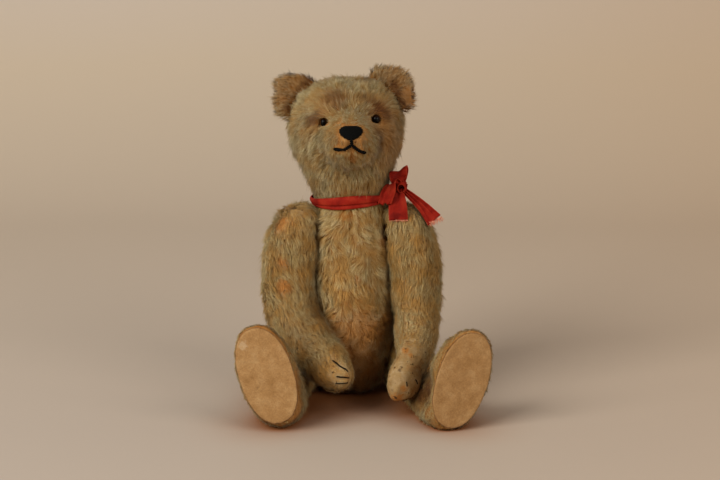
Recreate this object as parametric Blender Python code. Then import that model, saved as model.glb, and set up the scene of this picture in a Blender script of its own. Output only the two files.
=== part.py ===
"""Jointed mohair teddy bear, sitting with its legs forward, with a ribbon tied round its neck.

Frame: metres, +Z up, origin on the floor at the centre of the flat seat. The bear faces -Y, and its own left
is +X. Each limb, and the head, is built in a joint frame: the pin lies along local X and the limb is on the +X
side of the joint plane, the torso on the -X side. Local -Y is the limb's forward direction and local +Z is up.
"""

import math
from dataclasses import dataclass

import bmesh
import bpy
import numpy as np
from mathutils import Matrix, Vector
from mathutils.bvhtree import BVHTree

MM = 0.001
GAP = 0.3 * MM  # running and seating gap between separate pieces
JOINT_GAP = 0.4 * MM  # from the torso's joint face to the limb's

# Torso: height of each section, half width, half depth, and how far its centre lies behind the seat's.
TORSO_SECTIONS = (
    (0.0, 13.0, 16.0, 3.0),
    (3.0, 18.5, 23.0, 3.0),
    (9.0, 22.5, 28.5, 2.5),
    (20.0, 25.5, 32.5, 2.0),
    (34.0, 27.5, 35.0, 1.5),
    (52.0, 28.4, 36.0, 1.0),
    (75.0, 28.4, 35.5, 1.5),
    (97.0, 28.4, 34.5, 3.5),
    (114.0, 28.2, 33.0, 5.0),
    (126.0, 27.2, 30.0, 4.0),
    (134.0, 25.9, 27.0, 2.0),
    (141.0, 24.8, 25.2, 0.5),
)
TORSO_RINGS = 17
TORSO_SEGMENTS = 26

# Neck joint: the head turns about this axis, which leans a little to the bear's right.
NECK_HEIGHT = 137.0 * MM
NECK_LEAN = math.radians(-3.4)
HEAD_TURN = math.radians(4.3)

# Head, as blended ellipsoids in the neck frame: centre and radii.
HEAD_BLEND = 9.0
HEAD_CENTRE = (0.0, 0.0, 44.0)
HEAD_BLOBS = (
    ((-0.2, 4.0, 50.0), (36.5, 37.0, 31.0)),
    ((11.8, 3.0, 58.0), (24.0, 27.0, 21.5)),
    ((-12.2, 3.0, 58.0), (24.0, 27.0, 21.5)),
    ((13.5, -4.0, 40.0), (21.0, 25.0, 23.0)),
    ((-14.0, -4.0, 40.0), (21.0, 25.0, 23.0)),
    ((-0.5, -3.0, 22.0), (26.5, 27.5, 21.0)),
    ((-0.2, 0.0, 4.0), (24.7, 25.0, 26.0)),
    ((0.0, -33.0, 44.5), (17.0, 23.0, 15.5)),
    ((0.0, -42.0, 47.5), (14.0, 15.5, 13.5)),
)
HEAD_RINGS = 19
HEAD_SEGMENTS = 28
NECK_RADIUS = 25.0 * MM

EAR_RADII = (15.5 * MM, 3.4 * MM, 15.0 * MM)
EAR_CUP = 9.0  # how fast the ear's rim curls forward, per metre of half width squared, times a thousand

EYE_RADIUS = 3.1 * MM
EYE_PLACES = {"left": (19.1, 57.4), "right": (-17.5, 58.3)}
EYE_SINK = 1.3 * MM
SHANK_RADIUS = 0.5 * MM
SHANK_LENGTH = 9.0 * MM

# Arm: spine points in the joint plane (forward is -Y), how far the inner and outer sides lie from that plane, the
# half width in it, and how square the section is (2 is an ellipse).
ARM_SECTIONS = (
    (0.5, 18.5, 7.0, 7.0, 0.0, 2.0),
    (0.5, 16.5, 1.6, 14.0, 10.5, 2.4),
    (0.2, 12.5, -0.2, 21.0, 14.5, 3.4),
    (0.0, 0.0, -0.4, 28.6, 17.5, 3.6),
    (0.0, -14.0, 0.8, 32.6, 18.0, 3.2),
    (-1.0, -32.0, 2.2, 35.6, 17.8, 2.3),
    (-5.0, -50.0, 2.0, 36.2, 17.0, 2.1),
    (-15.0, -65.0, 2.4, 35.8, 16.3, 2.1),
    (-30.0, -77.5, 3.6, 33.6, 15.4, 2.1),
    (-44.0, -86.0, 4.8, 32.0, 14.6, 2.1),
    (-56.0, -92.0, 7.0, 29.6, 12.4, 2.1),
    (-64.5, -95.8, 11.0, 25.8, 8.2, 2.0),
    (-68.0, -97.0, 18.4, 18.4, 0.0, 2.0),
)
ARM_SEGMENTS = 20
SHOULDER_HEIGHT = 116.0 * MM
SHOULDER_REACH = 27.0 * MM  # from the torso's middle plane to the joint face

# Leg: distance along the leg (forward is -Y), underside, top, inner and outer sides, and how square the section is.
LEG_SECTIONS = (
    (21.0, 0.0, 0.0, 14.0, 14.0, 2.0),
    (18.5, -9.5, 9.5, 3.0, 24.0, 2.4),
    (13.0, -14.5, 14.5, -0.2, 29.0, 3.4),
    (0.0, -18.0, 17.0, -0.4, 32.0, 3.6),
    (-13.0, -20.5, 14.5, 0.0, 32.5, 3.2),
    (-28.0, -23.0, 7.0, 3.0, 32.0, 2.4),
    (-45.0, -24.5, 2.5, 5.0, 31.5, 2.3),
    (-62.0, -25.0, 3.0, 4.5, 32.5, 2.3),
    (-78.0, -25.5, 9.5, 1.0, 34.5, 2.3),
    (-90.0, -25.5, 29.0, -1.5, 36.0, 2.2),
    (-99.0, -25.0, 43.5, -2.6, 37.4, 2.2),
    (-106.0, -23.5, 48.0, -2.4, 37.4, 2.2),
    (-110.5, -20.3, 47.5, -1.6, 36.4, 2.2),
)
LEG_SEGMENTS = 22
HIP_HEIGHT = 23.0 * MM
HIP_REACH = 22.6 * MM
FOOT_TWIST = math.radians(9.5)  # how far the foot's top leans outward, building up along the leg

# Disc joint hardware, the same at all five joints: each joint is a board disc and a washer on either side of the
# two walls, and a cotter pin through them.
SHELL_WALL = 2.2 * MM
DISC_RADIUS = 12.0 * MM
DISC_THICKNESS = 2.0 * MM
WASHER_RADIUS = 5.0 * MM
WASHER_THICKNESS = 0.8 * MM
PIN_WIRE = 0.7 * MM
PIN_HALF_SPACING = 0.9 * MM
PIN_HOLE = 1.95 * MM
HOOK_RADIUS = 2.4 * MM
DISC_SEGMENTS = 18
WASHER_SEGMENTS = 12

FELT = 1.3 * MM
PAD_LIFT = 0.95 * MM  # from the facets under a pad, so that none of them comes through it
THREAD = 0.45 * MM

RIBBON_THICKNESS = 1.1 * MM
RIBBON_BAND = 8.0 * MM  # the 13 mm ribbon, bunched round the neck


@dataclass(frozen=True)
class Finish:
    """Colour, roughness and metallic value of one material."""

    colour: tuple[float, float, float]
    roughness: float
    metallic: float = 0.0


MOHAIR = Finish((0.262, 0.155, 0.064), 0.95)
FELT_TAN = Finish((0.36, 0.18, 0.075), 0.95)
BLACK_THREAD = Finish((0.006, 0.007, 0.006), 0.7)
GLASS = Finish((0.05, 0.02, 0.01), 0.08)
STEEL = Finish((0.42, 0.41, 0.39), 0.4, 1.0)
BOARD = Finish((0.30, 0.20, 0.11), 0.9)
RED_RIBBON = Finish((0.28, 0.018, 0.012), 0.6)


# ------------------------------------------------------------------------------------------ objects


def clear_scene():
    for item in list(bpy.data.objects):
        bpy.data.objects.remove(item)


def material(finish, name):
    made = bpy.data.materials.new(name)
    made.use_nodes = True
    shader = made.node_tree.nodes["Principled BSDF"]
    shader.inputs["Base Color"].default_value = (*finish.colour, 1.0)
    shader.inputs["Roughness"].default_value = finish.roughness
    shader.inputs["Metallic"].default_value = finish.metallic
    return made


def new_object(name, mesh_data, finish=None, place=None):
    """An object from a bmesh, shaded smooth, with its own material."""
    mesh = bpy.data.meshes.new(name)
    mesh_data.to_mesh(mesh)
    mesh_data.free()
    mesh.shade_smooth()
    mesh.set_sharp_from_angle(angle=math.radians(50))
    made = bpy.data.objects.new(name, mesh)
    bpy.context.scene.collection.objects.link(made)
    if finish:
        mesh.materials.append(material(finish, name + "_finish"))
    if place:
        made.matrix_world = place
    return made


def as_cutter(obj):
    obj.hide_render = True
    obj.display_type = "WIRE"
    return obj


def cut(obj, cutter, operation="DIFFERENCE"):
    step = obj.modifiers.new(operation.title(), "BOOLEAN")
    step.operation = operation
    step.solver = "EXACT"
    step.object = as_cutter(cutter)


def merged(obj):
    """Applies the object's modifiers and merges the slivers that a Boolean leaves."""
    bpy.context.view_layer.update()
    graph = bpy.context.evaluated_depsgraph_get()
    mesh = bpy.data.meshes.new_from_object(obj.evaluated_get(graph))
    shape = bmesh.new()
    shape.from_mesh(mesh)
    bmesh.ops.triangulate(shape, faces=shape.faces)
    bmesh.ops.remove_doubles(shape, verts=shape.verts, dist=0.000001)
    seen = {}
    for face in shape.faces:
        seen.setdefault(frozenset(face.verts), []).append(face)
    folded = [face for faces in seen.values() if len(faces) > 1 for face in faces]
    bmesh.ops.delete(shape, geom=folded, context="FACES")
    shape.to_mesh(mesh)
    shape.free()
    obj.modifiers.clear()
    obj.data = mesh
    return obj


def surface_tree(obj):
    """A search tree over the object's finished surface, in world space."""
    bpy.context.view_layer.update()
    graph = bpy.context.evaluated_depsgraph_get()
    evaluated = obj.evaluated_get(graph)
    shape = bmesh.new()
    shape.from_mesh(evaluated.to_mesh())
    shape.transform(obj.matrix_world)
    tree = BVHTree.FromBMesh(shape)
    evaluated.to_mesh_clear()
    shape.free()
    return tree


# ------------------------------------------------------------------------------------------- shapes


def lofted(rings):
    """A closed bmesh through rings of points. A ring of one point is a pole; any other end ring is a flat face."""
    shape = bmesh.new()
    rows = [[shape.verts.new(point) for point in ring] for ring in rings]
    for low, high in zip(rows, rows[1:]):
        count = max(len(low), len(high))
        for i in range(count):
            j = (i + 1) % count
            corners = [low[i % len(low)], low[j % len(low)], high[j % len(high)], high[i % len(high)]]
            shape.faces.new(list(dict.fromkeys(corners)))
    for row in (rows[0], rows[-1]):
        if len(row) > 1:
            shape.faces.new(row)
    bmesh.ops.recalc_face_normals(shape, faces=shape.faces)
    return shape


def smooth_table(rows, count):
    """Rows of numbers, read at evenly spaced steps of a Catmull-Rom curve through them."""
    rows = np.array(rows, float)
    padded = np.vstack([2 * rows[0] - rows[1], rows, 2 * rows[-1] - rows[-2]])
    found = []
    for t in np.linspace(0, len(rows) - 1, count):
        i = min(int(t), len(rows) - 2)
        f = t - i
        a, b, c, d = padded[i : i + 4]
        found.append(
            0.5 * (2 * b + (c - a) * f + (2 * a - 5 * b + 4 * c - d) * f**2 + (3 * b - a - 3 * c + d) * f**3)
        )
    return np.array(found)


def ellipse(centre, across, along, segments, squareness=2.0):
    """Points round an ellipse with the half axes across and along; a squareness over 2 fills out its corners."""
    points = []
    for i in range(segments):
        angle = 2 * math.pi * i / segments
        u = math.copysign(abs(math.cos(angle)) ** (2 / squareness), math.cos(angle))
        v = math.copysign(abs(math.sin(angle)) ** (2 / squareness), math.sin(angle))
        points.append(Vector(centre) + Vector(across) * u + Vector(along) * v)
    return points


def cylinder(start, end, radius, segments):
    """A closed cylinder along local X from start to end."""
    across = Vector((0, radius, 0))
    along = Vector((0, 0, radius))
    return lofted([ellipse((x, 0, 0), across, along, segments) for x in (start, end)])


def ring_plate(start, end, outer, inner, segments):
    """A flat ring along local X: a disc or a washer with its hole."""
    rings = [
        ellipse((x, 0, 0), (0, radius, 0), (0, 0, radius), segments)
        for x, radius in ((start, outer), (end, outer), (end, inner), (start, inner), (start, outer))
    ]
    shape = bmesh.new()
    rows = [[shape.verts.new(p) for p in ring] for ring in rings[:-1]]
    for low, high in zip(rows, rows[1:] + rows[:1]):
        for i in range(segments):
            j = (i + 1) % segments
            shape.faces.new([low[i], low[j], high[j], high[i]])
    bmesh.ops.recalc_face_normals(shape, faces=shape.faces)
    return shape


def blob_distance(points, blobs, blend):
    """Roughly the distance from points (in mm) to ellipsoids that melt into one another."""
    total = None
    for centre, radii in blobs:
        scaled = (points - np.array(centre)) / np.array(radii)
        length = np.linalg.norm(scaled, axis=1)
        slope = np.linalg.norm(scaled / np.array(radii), axis=1) / np.maximum(length, 1e-9)
        distance = (length - 1) / np.maximum(slope, 1e-9)
        if total is None:
            total = distance
            continue
        share = np.clip(0.5 + 0.5 * (distance - total) / blend, 0, 1)
        total = distance * (1 - share) + total * share - blend * share * (1 - share)
    return total


def blob_radius(directions, centre, blobs, blend, grow):
    """How far each ray from centre runs before it leaves the blended ellipsoids."""
    low = np.zeros(len(directions))
    high = np.full(len(directions), 140.0)
    for _ in range(40):
        middle = (low + high) / 2
        outside = blob_distance(np.array(centre) + directions * middle[:, None], blobs, blend) > grow
        high = np.where(outside, middle, high)
        low = np.where(outside, low, middle)
    return low


def head_mesh(grow):
    """The head without its sockets, grown outward by a distance in mm."""
    rings = []
    for i in range(HEAD_RINGS + 1):
        polar = math.pi * i / HEAD_RINGS
        count = 1 if i in (0, HEAD_RINGS) else HEAD_SEGMENTS
        angles = 2 * math.pi * (np.arange(count) + 0.5) / HEAD_SEGMENTS
        rays = np.stack(
            [
                math.sin(polar) * np.sin(angles),
                -math.sin(polar) * np.cos(angles),
                np.full(count, math.cos(polar)),
            ],
            axis=1,
        )
        reach = blob_radius(rays, HEAD_CENTRE, HEAD_BLOBS, HEAD_BLEND, grow)
        points = np.array(HEAD_CENTRE) + rays * reach[:, None]
        rings.append([Vector(p) * MM for p in points])
    return lofted(rings)


# ------------------------------------------------------------------------------------------- frames


@dataclass(frozen=True)
class Joint:
    """One disc joint: its name, which way it faces and where its pin crosses the joint plane."""

    name: str
    place: Matrix


def side_frame(side, origin, yaw, roll, swing=0.0):
    """A joint frame on one side of the torso. side is 1 on the bear's left and -1 on its right.

    yaw turns the pin towards the bear's back, roll drops the pin's outer end, and swing turns the limb about it.
    """
    turn = Matrix.Rotation(side * yaw, 4, "Z") @ Matrix.Rotation(side * roll, 4, "Y")
    mirror = Matrix.Diagonal((side, 1, 1, 1))
    return Matrix.Translation(origin) @ turn @ mirror @ Matrix.Rotation(swing, 4, "X")


SIDES = {"left": 1, "right": -1}

SHOULDER_YAW = {"left": math.radians(-10), "right": math.radians(-15)}
ARM_SWING = {"left": math.radians(-3), "right": math.radians(-7)}
PAW_INWARD = {"left": 1.0, "right": 15.5}
HIP_YAW = {"left": math.radians(16.8), "right": math.radians(6.3)}
HIP_ROLL = {"left": math.radians(8), "right": math.radians(8)}
HIP_SWING = {"left": 0.0, "right": math.radians(-2)}
HIP_BACK = {"left": 1.0 * MM, "right": 6.0 * MM}


def shoulder_frame(name):
    side = SIDES[name]
    yaw = SHOULDER_YAW[name]
    reach = Vector((side * math.cos(yaw), math.sin(yaw), 0)) * SHOULDER_REACH
    origin = Vector((0, 0, SHOULDER_HEIGHT)) + reach
    return side_frame(side, origin, yaw, 0.0, ARM_SWING[name])


def hip_frame(name):
    side = SIDES[name]
    origin = Vector((side * HIP_REACH, HIP_BACK[name], HIP_HEIGHT))
    return side_frame(side, origin, HIP_YAW[name], HIP_ROLL[name], HIP_SWING[name])


def neck_frame():
    """Local X points up the neck here, so that the neck takes the same hardware as the limbs."""
    lean = Matrix.Rotation(NECK_LEAN, 4, "Y")
    return Matrix.Translation((0, 0, NECK_HEIGHT)) @ lean @ Matrix.Rotation(math.radians(-90), 4, "Y")


def head_frame():
    """The head's own frame: up the neck, turned a little to the bear's left."""
    lean = Matrix.Rotation(NECK_LEAN, 4, "Y")
    return Matrix.Translation((0, 0, NECK_HEIGHT)) @ lean @ Matrix.Rotation(HEAD_TURN, 4, "Z")


def all_joints():
    joints = [Joint("neck", neck_frame())]
    joints += [Joint("shoulder_" + name, shoulder_frame(name)) for name in SIDES]
    joints += [Joint("hip_" + name, hip_frame(name)) for name in SIDES]
    return joints


# ----------------------------------------------------------------------------------------- hardware


def stack_from(wall_face):
    """Where a disc, a washer and the pin's bend lie, going inward from a joint face."""
    disc = wall_face + SHELL_WALL + GAP
    washer = disc + DISC_THICKNESS + GAP
    bend = washer + WASHER_THICKNESS + GAP
    return disc, washer, bend


def joint_cutters(joint, wall_face, direction, reach):
    """The pocket for a joint's disc, washer and bent pin, opened to the joint face by the pin's hole."""
    disc, _, bend = stack_from(wall_face)
    name = joint.name + ("_limb" if direction > 0 else "_body")
    spans = (
        ("hole", -2 * MM, disc, PIN_HOLE, 12),
        ("seat", disc - GAP, bend, DISC_RADIUS + GAP, DISC_SEGMENTS),
        ("bend", bend - GAP, bend + reach, 2 * HOOK_RADIUS + 2.2 * MM, 14),
    )
    made = []
    for part, low, high, radius, segments in spans:
        shape = cylinder(direction * low, direction * high, radius, segments)
        made.append(as_cutter(new_object(f"{name}_{part}_cutter", shape, None, joint.place)))
    return made


def joint_hardware(joint):
    """The two discs, the two washers and the cotter pin of one joint."""
    for kind, wall_face, direction in (("limb", JOINT_GAP, 1), ("body", 0.0, -1)):
        disc, washer, _ = stack_from(wall_face)
        plates = (
            ("disc", disc, DISC_THICKNESS, DISC_RADIUS, DISC_SEGMENTS, BOARD),
            ("washer", washer, WASHER_THICKNESS, WASHER_RADIUS, WASHER_SEGMENTS, STEEL),
        )
        for part, start, thickness, radius, segments, finish in plates:
            far = start + thickness
            shape = ring_plate(direction * start, direction * far, radius, PIN_HOLE + GAP / 2, segments)
            new_object(f"{joint.name}_{kind}_{part}", shape, finish, joint.place)
    cotter_pin(joint)


def wire(name, points, radius, finish, place=None, sides=1):
    """A wire or thread: a curve with a round bevel and filled caps."""
    data = bpy.data.curves.new(name, "CURVE")
    data.dimensions = "3D"
    data.bevel_depth = radius
    data.bevel_resolution = sides
    data.use_fill_caps = True
    line = data.splines.new("POLY")
    line.points.add(len(points) - 1)
    for target, point in zip(line.points, points):
        target.co = (*point, 1.0)
    made = bpy.data.objects.new(name, data)
    bpy.context.scene.collection.objects.link(made)
    data.materials.append(material(finish, name + "_finish"))
    if place:
        made.matrix_world = place
    return made


def cotter_pin(joint):
    """A hairpin: an eye on the limb's side, two legs side by side, and ends curled apart in the torso."""
    _, _, limb_bend = stack_from(JOINT_GAP)
    _, _, body_bend = stack_from(0.0)
    near = limb_bend + PIN_WIRE
    far = -(body_bend + PIN_WIRE)
    eye_radius = 2.0 * MM
    middle = near + eye_radius
    eye = [
        Vector((middle - eye_radius * math.cos(a), eye_radius * math.sin(a), 0))
        for a in (math.radians(d) for d in range(55, 306, 35))
    ]
    hook = [
        Vector((far - HOOK_RADIUS * math.sin(a), PIN_HALF_SPACING + HOOK_RADIUS * (1 - math.cos(a)), 0))
        for a in (math.radians(d) for d in range(0, 151, 30))
    ]
    leg = [Vector((near, PIN_HALF_SPACING, 0))]
    one = list(reversed(hook)) + leg
    other = [Vector((p.x, -p.y, 0)) for p in reversed(one)]
    wire(joint.name + "_cotter_pin", one + eye + other, PIN_WIRE, STEEL, joint.place)


def hollow_for_joint(obj, joint, wall_face, direction):
    reach = 6.4 * MM
    for cutter in joint_cutters(joint, wall_face, direction, reach):
        cut(obj, cutter)


# ------------------------------------------------------------------------------------------- pieces


def build_torso(joints):
    table = smooth_table(TORSO_SECTIONS, TORSO_RINGS)
    rings = []
    for height, half_width, half_depth, back in table:
        centre = Vector((0, back, height)) * MM
        rings.append(ellipse(centre, (half_width * MM, 0, 0), (0, half_depth * MM, 0), TORSO_SEGMENTS))
    torso = new_object("torso", lofted(rings), MOHAIR)
    for joint in joints:
        face = cylinder(0, 60 * MM, 30 * MM if joint.name == "neck" else 21 * MM, 32)
        cut(torso, new_object(joint.name + "_face_cutter", face, None, joint.place))
        hollow_for_joint(torso, joint, 0.0, -1)
    return merged(torso)


def build_head(neck):
    place = head_frame()
    head = new_object("head", head_mesh(0.0), MOHAIR, place)
    below = cylinder(-60 * MM, JOINT_GAP, 60 * MM, 24)
    cut(head, new_object("neck_plane_cutter", below, None, neck.place))
    hollow_for_joint(head, neck, JOINT_GAP, 1)
    skin = surface_tree(head)
    for name in SIDES:
        build_eye(head, skin, name)
    merged(head)
    for name in SIDES:
        build_ear(name)
    build_nose_and_mouth(surface_tree(head))
    return head


def front_hit(skin, place, across, up):
    """Where a line along the head's own Y meets the face, and the surface's normal there, in world space."""
    start = place @ (Vector((across, -120.0, up)) * MM)
    direction = place.to_3x3() @ Vector((0, 1, 0))
    point, normal, _, _ = skin.ray_cast(start, direction)
    return point, normal


def build_eye(head, skin, name):
    """A glass eye in its socket, with the wire shank that runs back into the head."""
    place = head_frame()
    point, normal = front_hit(skin, place, *EYE_PLACES[name])
    outward = (normal + place.to_3x3() @ Vector((0, -1, 0))).normalized()
    centre = point - outward * EYE_SINK
    along = outward.to_track_quat("X", "Z").to_matrix().to_4x4()
    frame = Matrix.Translation(centre) @ along
    eye = bmesh.new()
    bmesh.ops.create_uvsphere(eye, u_segments=16, v_segments=10, radius=EYE_RADIUS)
    new_object("eye_" + name, eye, GLASS, frame)
    socket = bmesh.new()
    bmesh.ops.create_uvsphere(socket, u_segments=20, v_segments=12, radius=EYE_RADIUS + 1.4 * GAP)
    cut(head, new_object(f"eye_socket_{name}_cutter", socket, None, frame))
    start = -EYE_RADIUS - GAP
    channel = cylinder(start + 2 * GAP, start - SHANK_LENGTH - GAP, SHANK_RADIUS + GAP, 10)
    bmesh.ops.recalc_face_normals(channel, faces=channel.faces)
    cut(head, new_object(f"eye_channel_{name}_cutter", channel, None, frame))
    shank = [Vector((start - SHANK_LENGTH * t, 0, 0)) for t in (0, 1)]
    wire("eye_shank_" + name, shank, SHANK_RADIUS, STEEL, frame)


EAR_PLACES = {"left": (33.2, 2.0, 73.0, 42.0, -22.0), "right": (-32.0, 3.0, 72.0, -42.0, 10.0)}


def build_ear(name):
    """A cupped half disc: a flat ellipsoid whose rim curls forward, cut off where it meets the head."""
    x, y, z, roll, yaw = EAR_PLACES[name]
    turn = Matrix.Rotation(math.radians(yaw), 4, "Z") @ Matrix.Rotation(math.radians(roll), 4, "Y")
    place = head_frame() @ Matrix.Translation(Vector((x, y, z)) * MM) @ turn
    shape = bmesh.new()
    bmesh.ops.create_uvsphere(shape, u_segments=16, v_segments=12, radius=1.0)
    for vert in shape.verts:
        vert.co = Vector(component * radius for component, radius in zip(vert.co, EAR_RADII))
        reach = vert.co.x**2 + 0.6 * max(vert.co.z, 0) ** 2
        vert.co.y -= EAR_CUP * 2 * reach
    ear = new_object("ear_" + name, shape, MOHAIR, place)
    cut(ear, new_object(f"head_for_ear_{name}_cutter", head_mesh(0.55), None, head_frame()))
    keep_largest(merged(ear))


def keep_largest(obj):
    """Drops the loose inner piece that a cut leaves on the far side of the cutter."""
    shape = bmesh.new()
    shape.from_mesh(obj.data)
    left = set(shape.verts)
    groups = []
    while left:
        group = set()
        edge = [left.pop()]
        while edge:
            vert = edge.pop()
            group.add(vert)
            near = {e.other_vert(vert) for e in vert.link_edges} & left
            left -= near
            edge.extend(near)
        groups.append(group)
    groups.sort(key=len)
    for group in groups[:-1]:
        bmesh.ops.delete(shape, geom=list(group), context="VERTS")
    shape.to_mesh(obj.data)
    shape.free()


def laid_on(tree, points, direction, lift):
    """Points moved along direction onto a surface, then lifted off it along its normal."""
    found = []
    for point in points:
        hit, normal, _, _ = tree.ray_cast(point - direction * 60 * MM, direction)
        if hit is None:
            hit, normal, _, _ = tree.find_nearest(point)
        found.append((hit + normal * lift, normal))
    return found


def conformal_pad(name, tree, outline, direction, thickness, finish, lift=PAD_LIFT, rings=3):
    """A thin pad that follows a surface: an outline laid on it, filled inward, with a top and an underside."""
    centre = sum(outline, Vector()) / len(outline)
    layers = {}
    for side, height in (("under", lift), ("top", lift + thickness)):
        rows = []
        for i in range(rings + 1):
            share = i / rings
            ring = [centre.lerp(p, share) for p in outline] if i else [centre]
            drop = thickness * 0.45 * share**4 if side == "top" else 0.0
            rows.append([p for p, _ in laid_on(tree, ring, direction, height - drop)])
        layers[side] = rows
    return new_object(name, lofted(layers["under"] + layers["top"][::-1]), finish)


def nose_outline(segments=20):
    """A shield: nearly straight on top, narrowing to a rounded point below, 16 mm wide and 10 mm high."""
    points = []
    for i in range(segments):
        angle = 2 * math.pi * i / segments
        x = math.cos(angle)
        z = math.sin(angle)
        width = 7.5 - 2.2 * max(-z, 0) ** 1.5
        points.append((x * width, 3.2 * z if z > 0 else 5.4 * z))
    return points


NOSE_UP = 54.5
MOUTH_DROP = 8.8


def build_nose_and_mouth(skin):
    place = head_frame()
    back = place.to_3x3() @ Vector((0, 1, 0))
    outline = [place @ (Vector((x, -60.0, NOSE_UP + z)) * MM) for x, z in nose_outline()]
    conformal_pad("nose", skin, outline, back, 1.6 * MM, BLACK_THREAD)
    fork = NOSE_UP - MOUTH_DROP
    stem = ((0.0, fork + 2.7), (0.0, fork + 1.2))
    corners = ((-10.4, -4.6), (-8.6, -4.4), (-6.0, -3.2), (-3.0, -1.2), (0.0, 0.0))
    corners += ((3.0, -1.4), (6.0, -3.4), (9.4, -4.8))
    corners = [(x, fork + z) for x, z in corners]
    for name, route in (("mouth_stem", stem), ("mouth_corners", corners)):
        path = [place @ (Vector((x, -60.0, z)) * MM) for x, z in route]
        laid = [p for p, _ in laid_on(skin, path, back, 3.0 * GAP + THREAD)]
        wire(name, laid, 1.3 * THREAD, BLACK_THREAD)


def arm_mesh(inward):
    """The arm, whose forearm bends towards the bear's middle by a distance (in mm) at the paw's centre."""
    table = smooth_table(ARM_SECTIONS[1:-1], 17)
    ends = [np.array(ARM_SECTIONS[i]) for i in (0, -1)]
    rows = [ends[0], *table, ends[1]]
    spine = []
    for y, z, inner, outer, _, _ in rows:
        bend = max(-y - 4.0, 0.0) / 46.0
        spine.append(Vector(((inner + outer) / 2 - inward * bend**1.15, y, z)) * MM)
    rings = [[spine[0]]]
    for i in range(1, len(rows) - 1):
        _, _, inner, outer, half_width, squareness = rows[i]
        along = (spine[i + 1] - spine[i - 1]).normalized()
        out = Vector((1, 0, 0)) if i < 6 else Vector((1, 0, 0)) - along * along.x
        out.normalize()
        flat = along.cross(out).normalized()
        half = (outer - inner) / 2 * MM
        rings.append(ellipse(spine[i], out * half, flat * half_width * MM, ARM_SEGMENTS, squareness))
    rings.append([spine[-1]])
    return lofted(rings)


def build_arm(name, joint):
    arm = new_object("arm_" + name, arm_mesh(PAW_INWARD[name]), MOHAIR, joint.place)
    inner = cylinder(-40 * MM, JOINT_GAP, 30 * MM, 24)
    cut(arm, new_object(f"arm_{name}_plane_cutter", inner, None, joint.place))
    hollow_for_joint(arm, joint, JOINT_GAP, 1)
    merged(arm)
    skin = surface_tree(arm)
    paw, fore, palm, across = paw_axes(name, joint)
    outline = [
        paw + palm * 20 * MM + fore * 14.0 * math.cos(a) * MM + across * 8.5 * math.sin(a) * MM
        for a in (2 * math.pi * i / 18 for i in range(18))
    ]
    conformal_pad("paw_pad_" + name, skin, outline, -palm, FELT, FELT_TAN, PAD_LIFT + 2 * GAP)
    build_claws(name, skin)
    return arm


def paw_axes(name, joint):
    """The paw's centre, and the directions along it, out of its palm and across it, in world space."""
    bend = PAW_INWARD[name]
    turn = joint.place.to_3x3()
    fore = turn @ Vector((-bend * 1.15 / 46.0, -1.0, -0.5)).normalized()
    across = turn @ Vector((1, 0, 0))
    across = (across - fore * across.dot(fore)).normalized()
    palm = fore.cross(across).normalized()
    if palm.z > 0:
        palm = -palm
    centre = joint.place @ (Vector((18.4 - bend, -48.5, -88.2)) * MM)
    return centre, fore, palm, across


# Thread claws: the world X and Z, in mm, of each straight stitch's two ends as seen from the front.
CLAWS = {
    "left": (((37.0, 27.4), (37.3, 24.6)), ((42.0, 27.8), (42.4, 25.0))),
    "right": (((-12.4, 41.5), (-1.9, 36.0)), ((-9.0, 32.4), (-1.8, 31.2)), ((-10.4, 27.4), (-2.8, 27.2))),
}


def build_claws(name, skin):
    """Thread claws on the front of the paw's end, each one straight stitch that follows the surface."""
    for number, (start, end) in enumerate(CLAWS[name], start=1):
        ends = [Vector((x, -60.0, z)) * MM for x, z in (start, end)]
        path = [ends[0].lerp(ends[1], t / 4) for t in range(5)]
        laid = [p for p, _ in laid_on(skin, path, Vector((0, 1, 0)), 3.0 * GAP + THREAD)]
        wire(f"claw_{name}_paw_{number}", laid, THREAD, BLACK_THREAD)


def leg_mesh():
    table = smooth_table(LEG_SECTIONS[1:], 19)
    rings = [[Vector((LEG_SECTIONS[0][3], LEG_SECTIONS[0][0], 0)) * MM]]
    rings += [leg_ring(row, LEG_SEGMENTS) for row in table]
    return lofted(rings)


def leg_ring(row, segments, share=1.0, beyond=0.0):
    """One section of the leg, shrunk to a share of itself and moved beyond its place towards the sole."""
    y, low, high, inner, outer, squareness = row
    centre = Vector(((inner + outer) / 2, y, (low + high) / 2)) * MM - Vector((0, beyond, 0))
    twist = FOOT_TWIST * min(max(-y - 30.0, 0.0) / 70.0, 1.0)
    turn = Matrix.Rotation(twist, 3, "Y")
    across = turn @ Vector((outer - inner, 0, 0)) / 2 * share * MM
    up = turn @ Vector((0, 0, high - low)) / 2 * share * MM
    return ellipse(centre, across, up, segments, squareness)


def build_leg(name, joint):
    leg = new_object("leg_" + name, leg_mesh(), MOHAIR, joint.place)
    inner = cylinder(-40 * MM, JOINT_GAP, 130 * MM, 24)
    cut(leg, new_object(f"leg_{name}_plane_cutter", inner, None, joint.place))
    floor = bmesh.new()
    bmesh.ops.create_cube(floor, size=0.4)
    bmesh.ops.translate(floor, verts=floor.verts, vec=(0, 0, -0.2))
    cut(leg, new_object(f"leg_{name}_floor_cutter", floor))
    hollow_for_joint(leg, joint, JOINT_GAP, 1)
    merged(leg)
    build_foot_pad(name, joint)
    return leg


def build_foot_pad(name, joint):
    """A flat felt oval on the end face of the foot."""
    layers = ((GAP, 0.97), (GAP + FELT * 0.6, 0.97), (GAP + FELT, 0.92))
    rings = [leg_ring(LEG_SECTIONS[-1], 28, share, depth) for depth, share in layers]
    new_object("foot_pad_" + name, lofted(rings), FELT_TAN, joint.place)


# ------------------------------------------------------------------------------------------- ribbon


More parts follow.
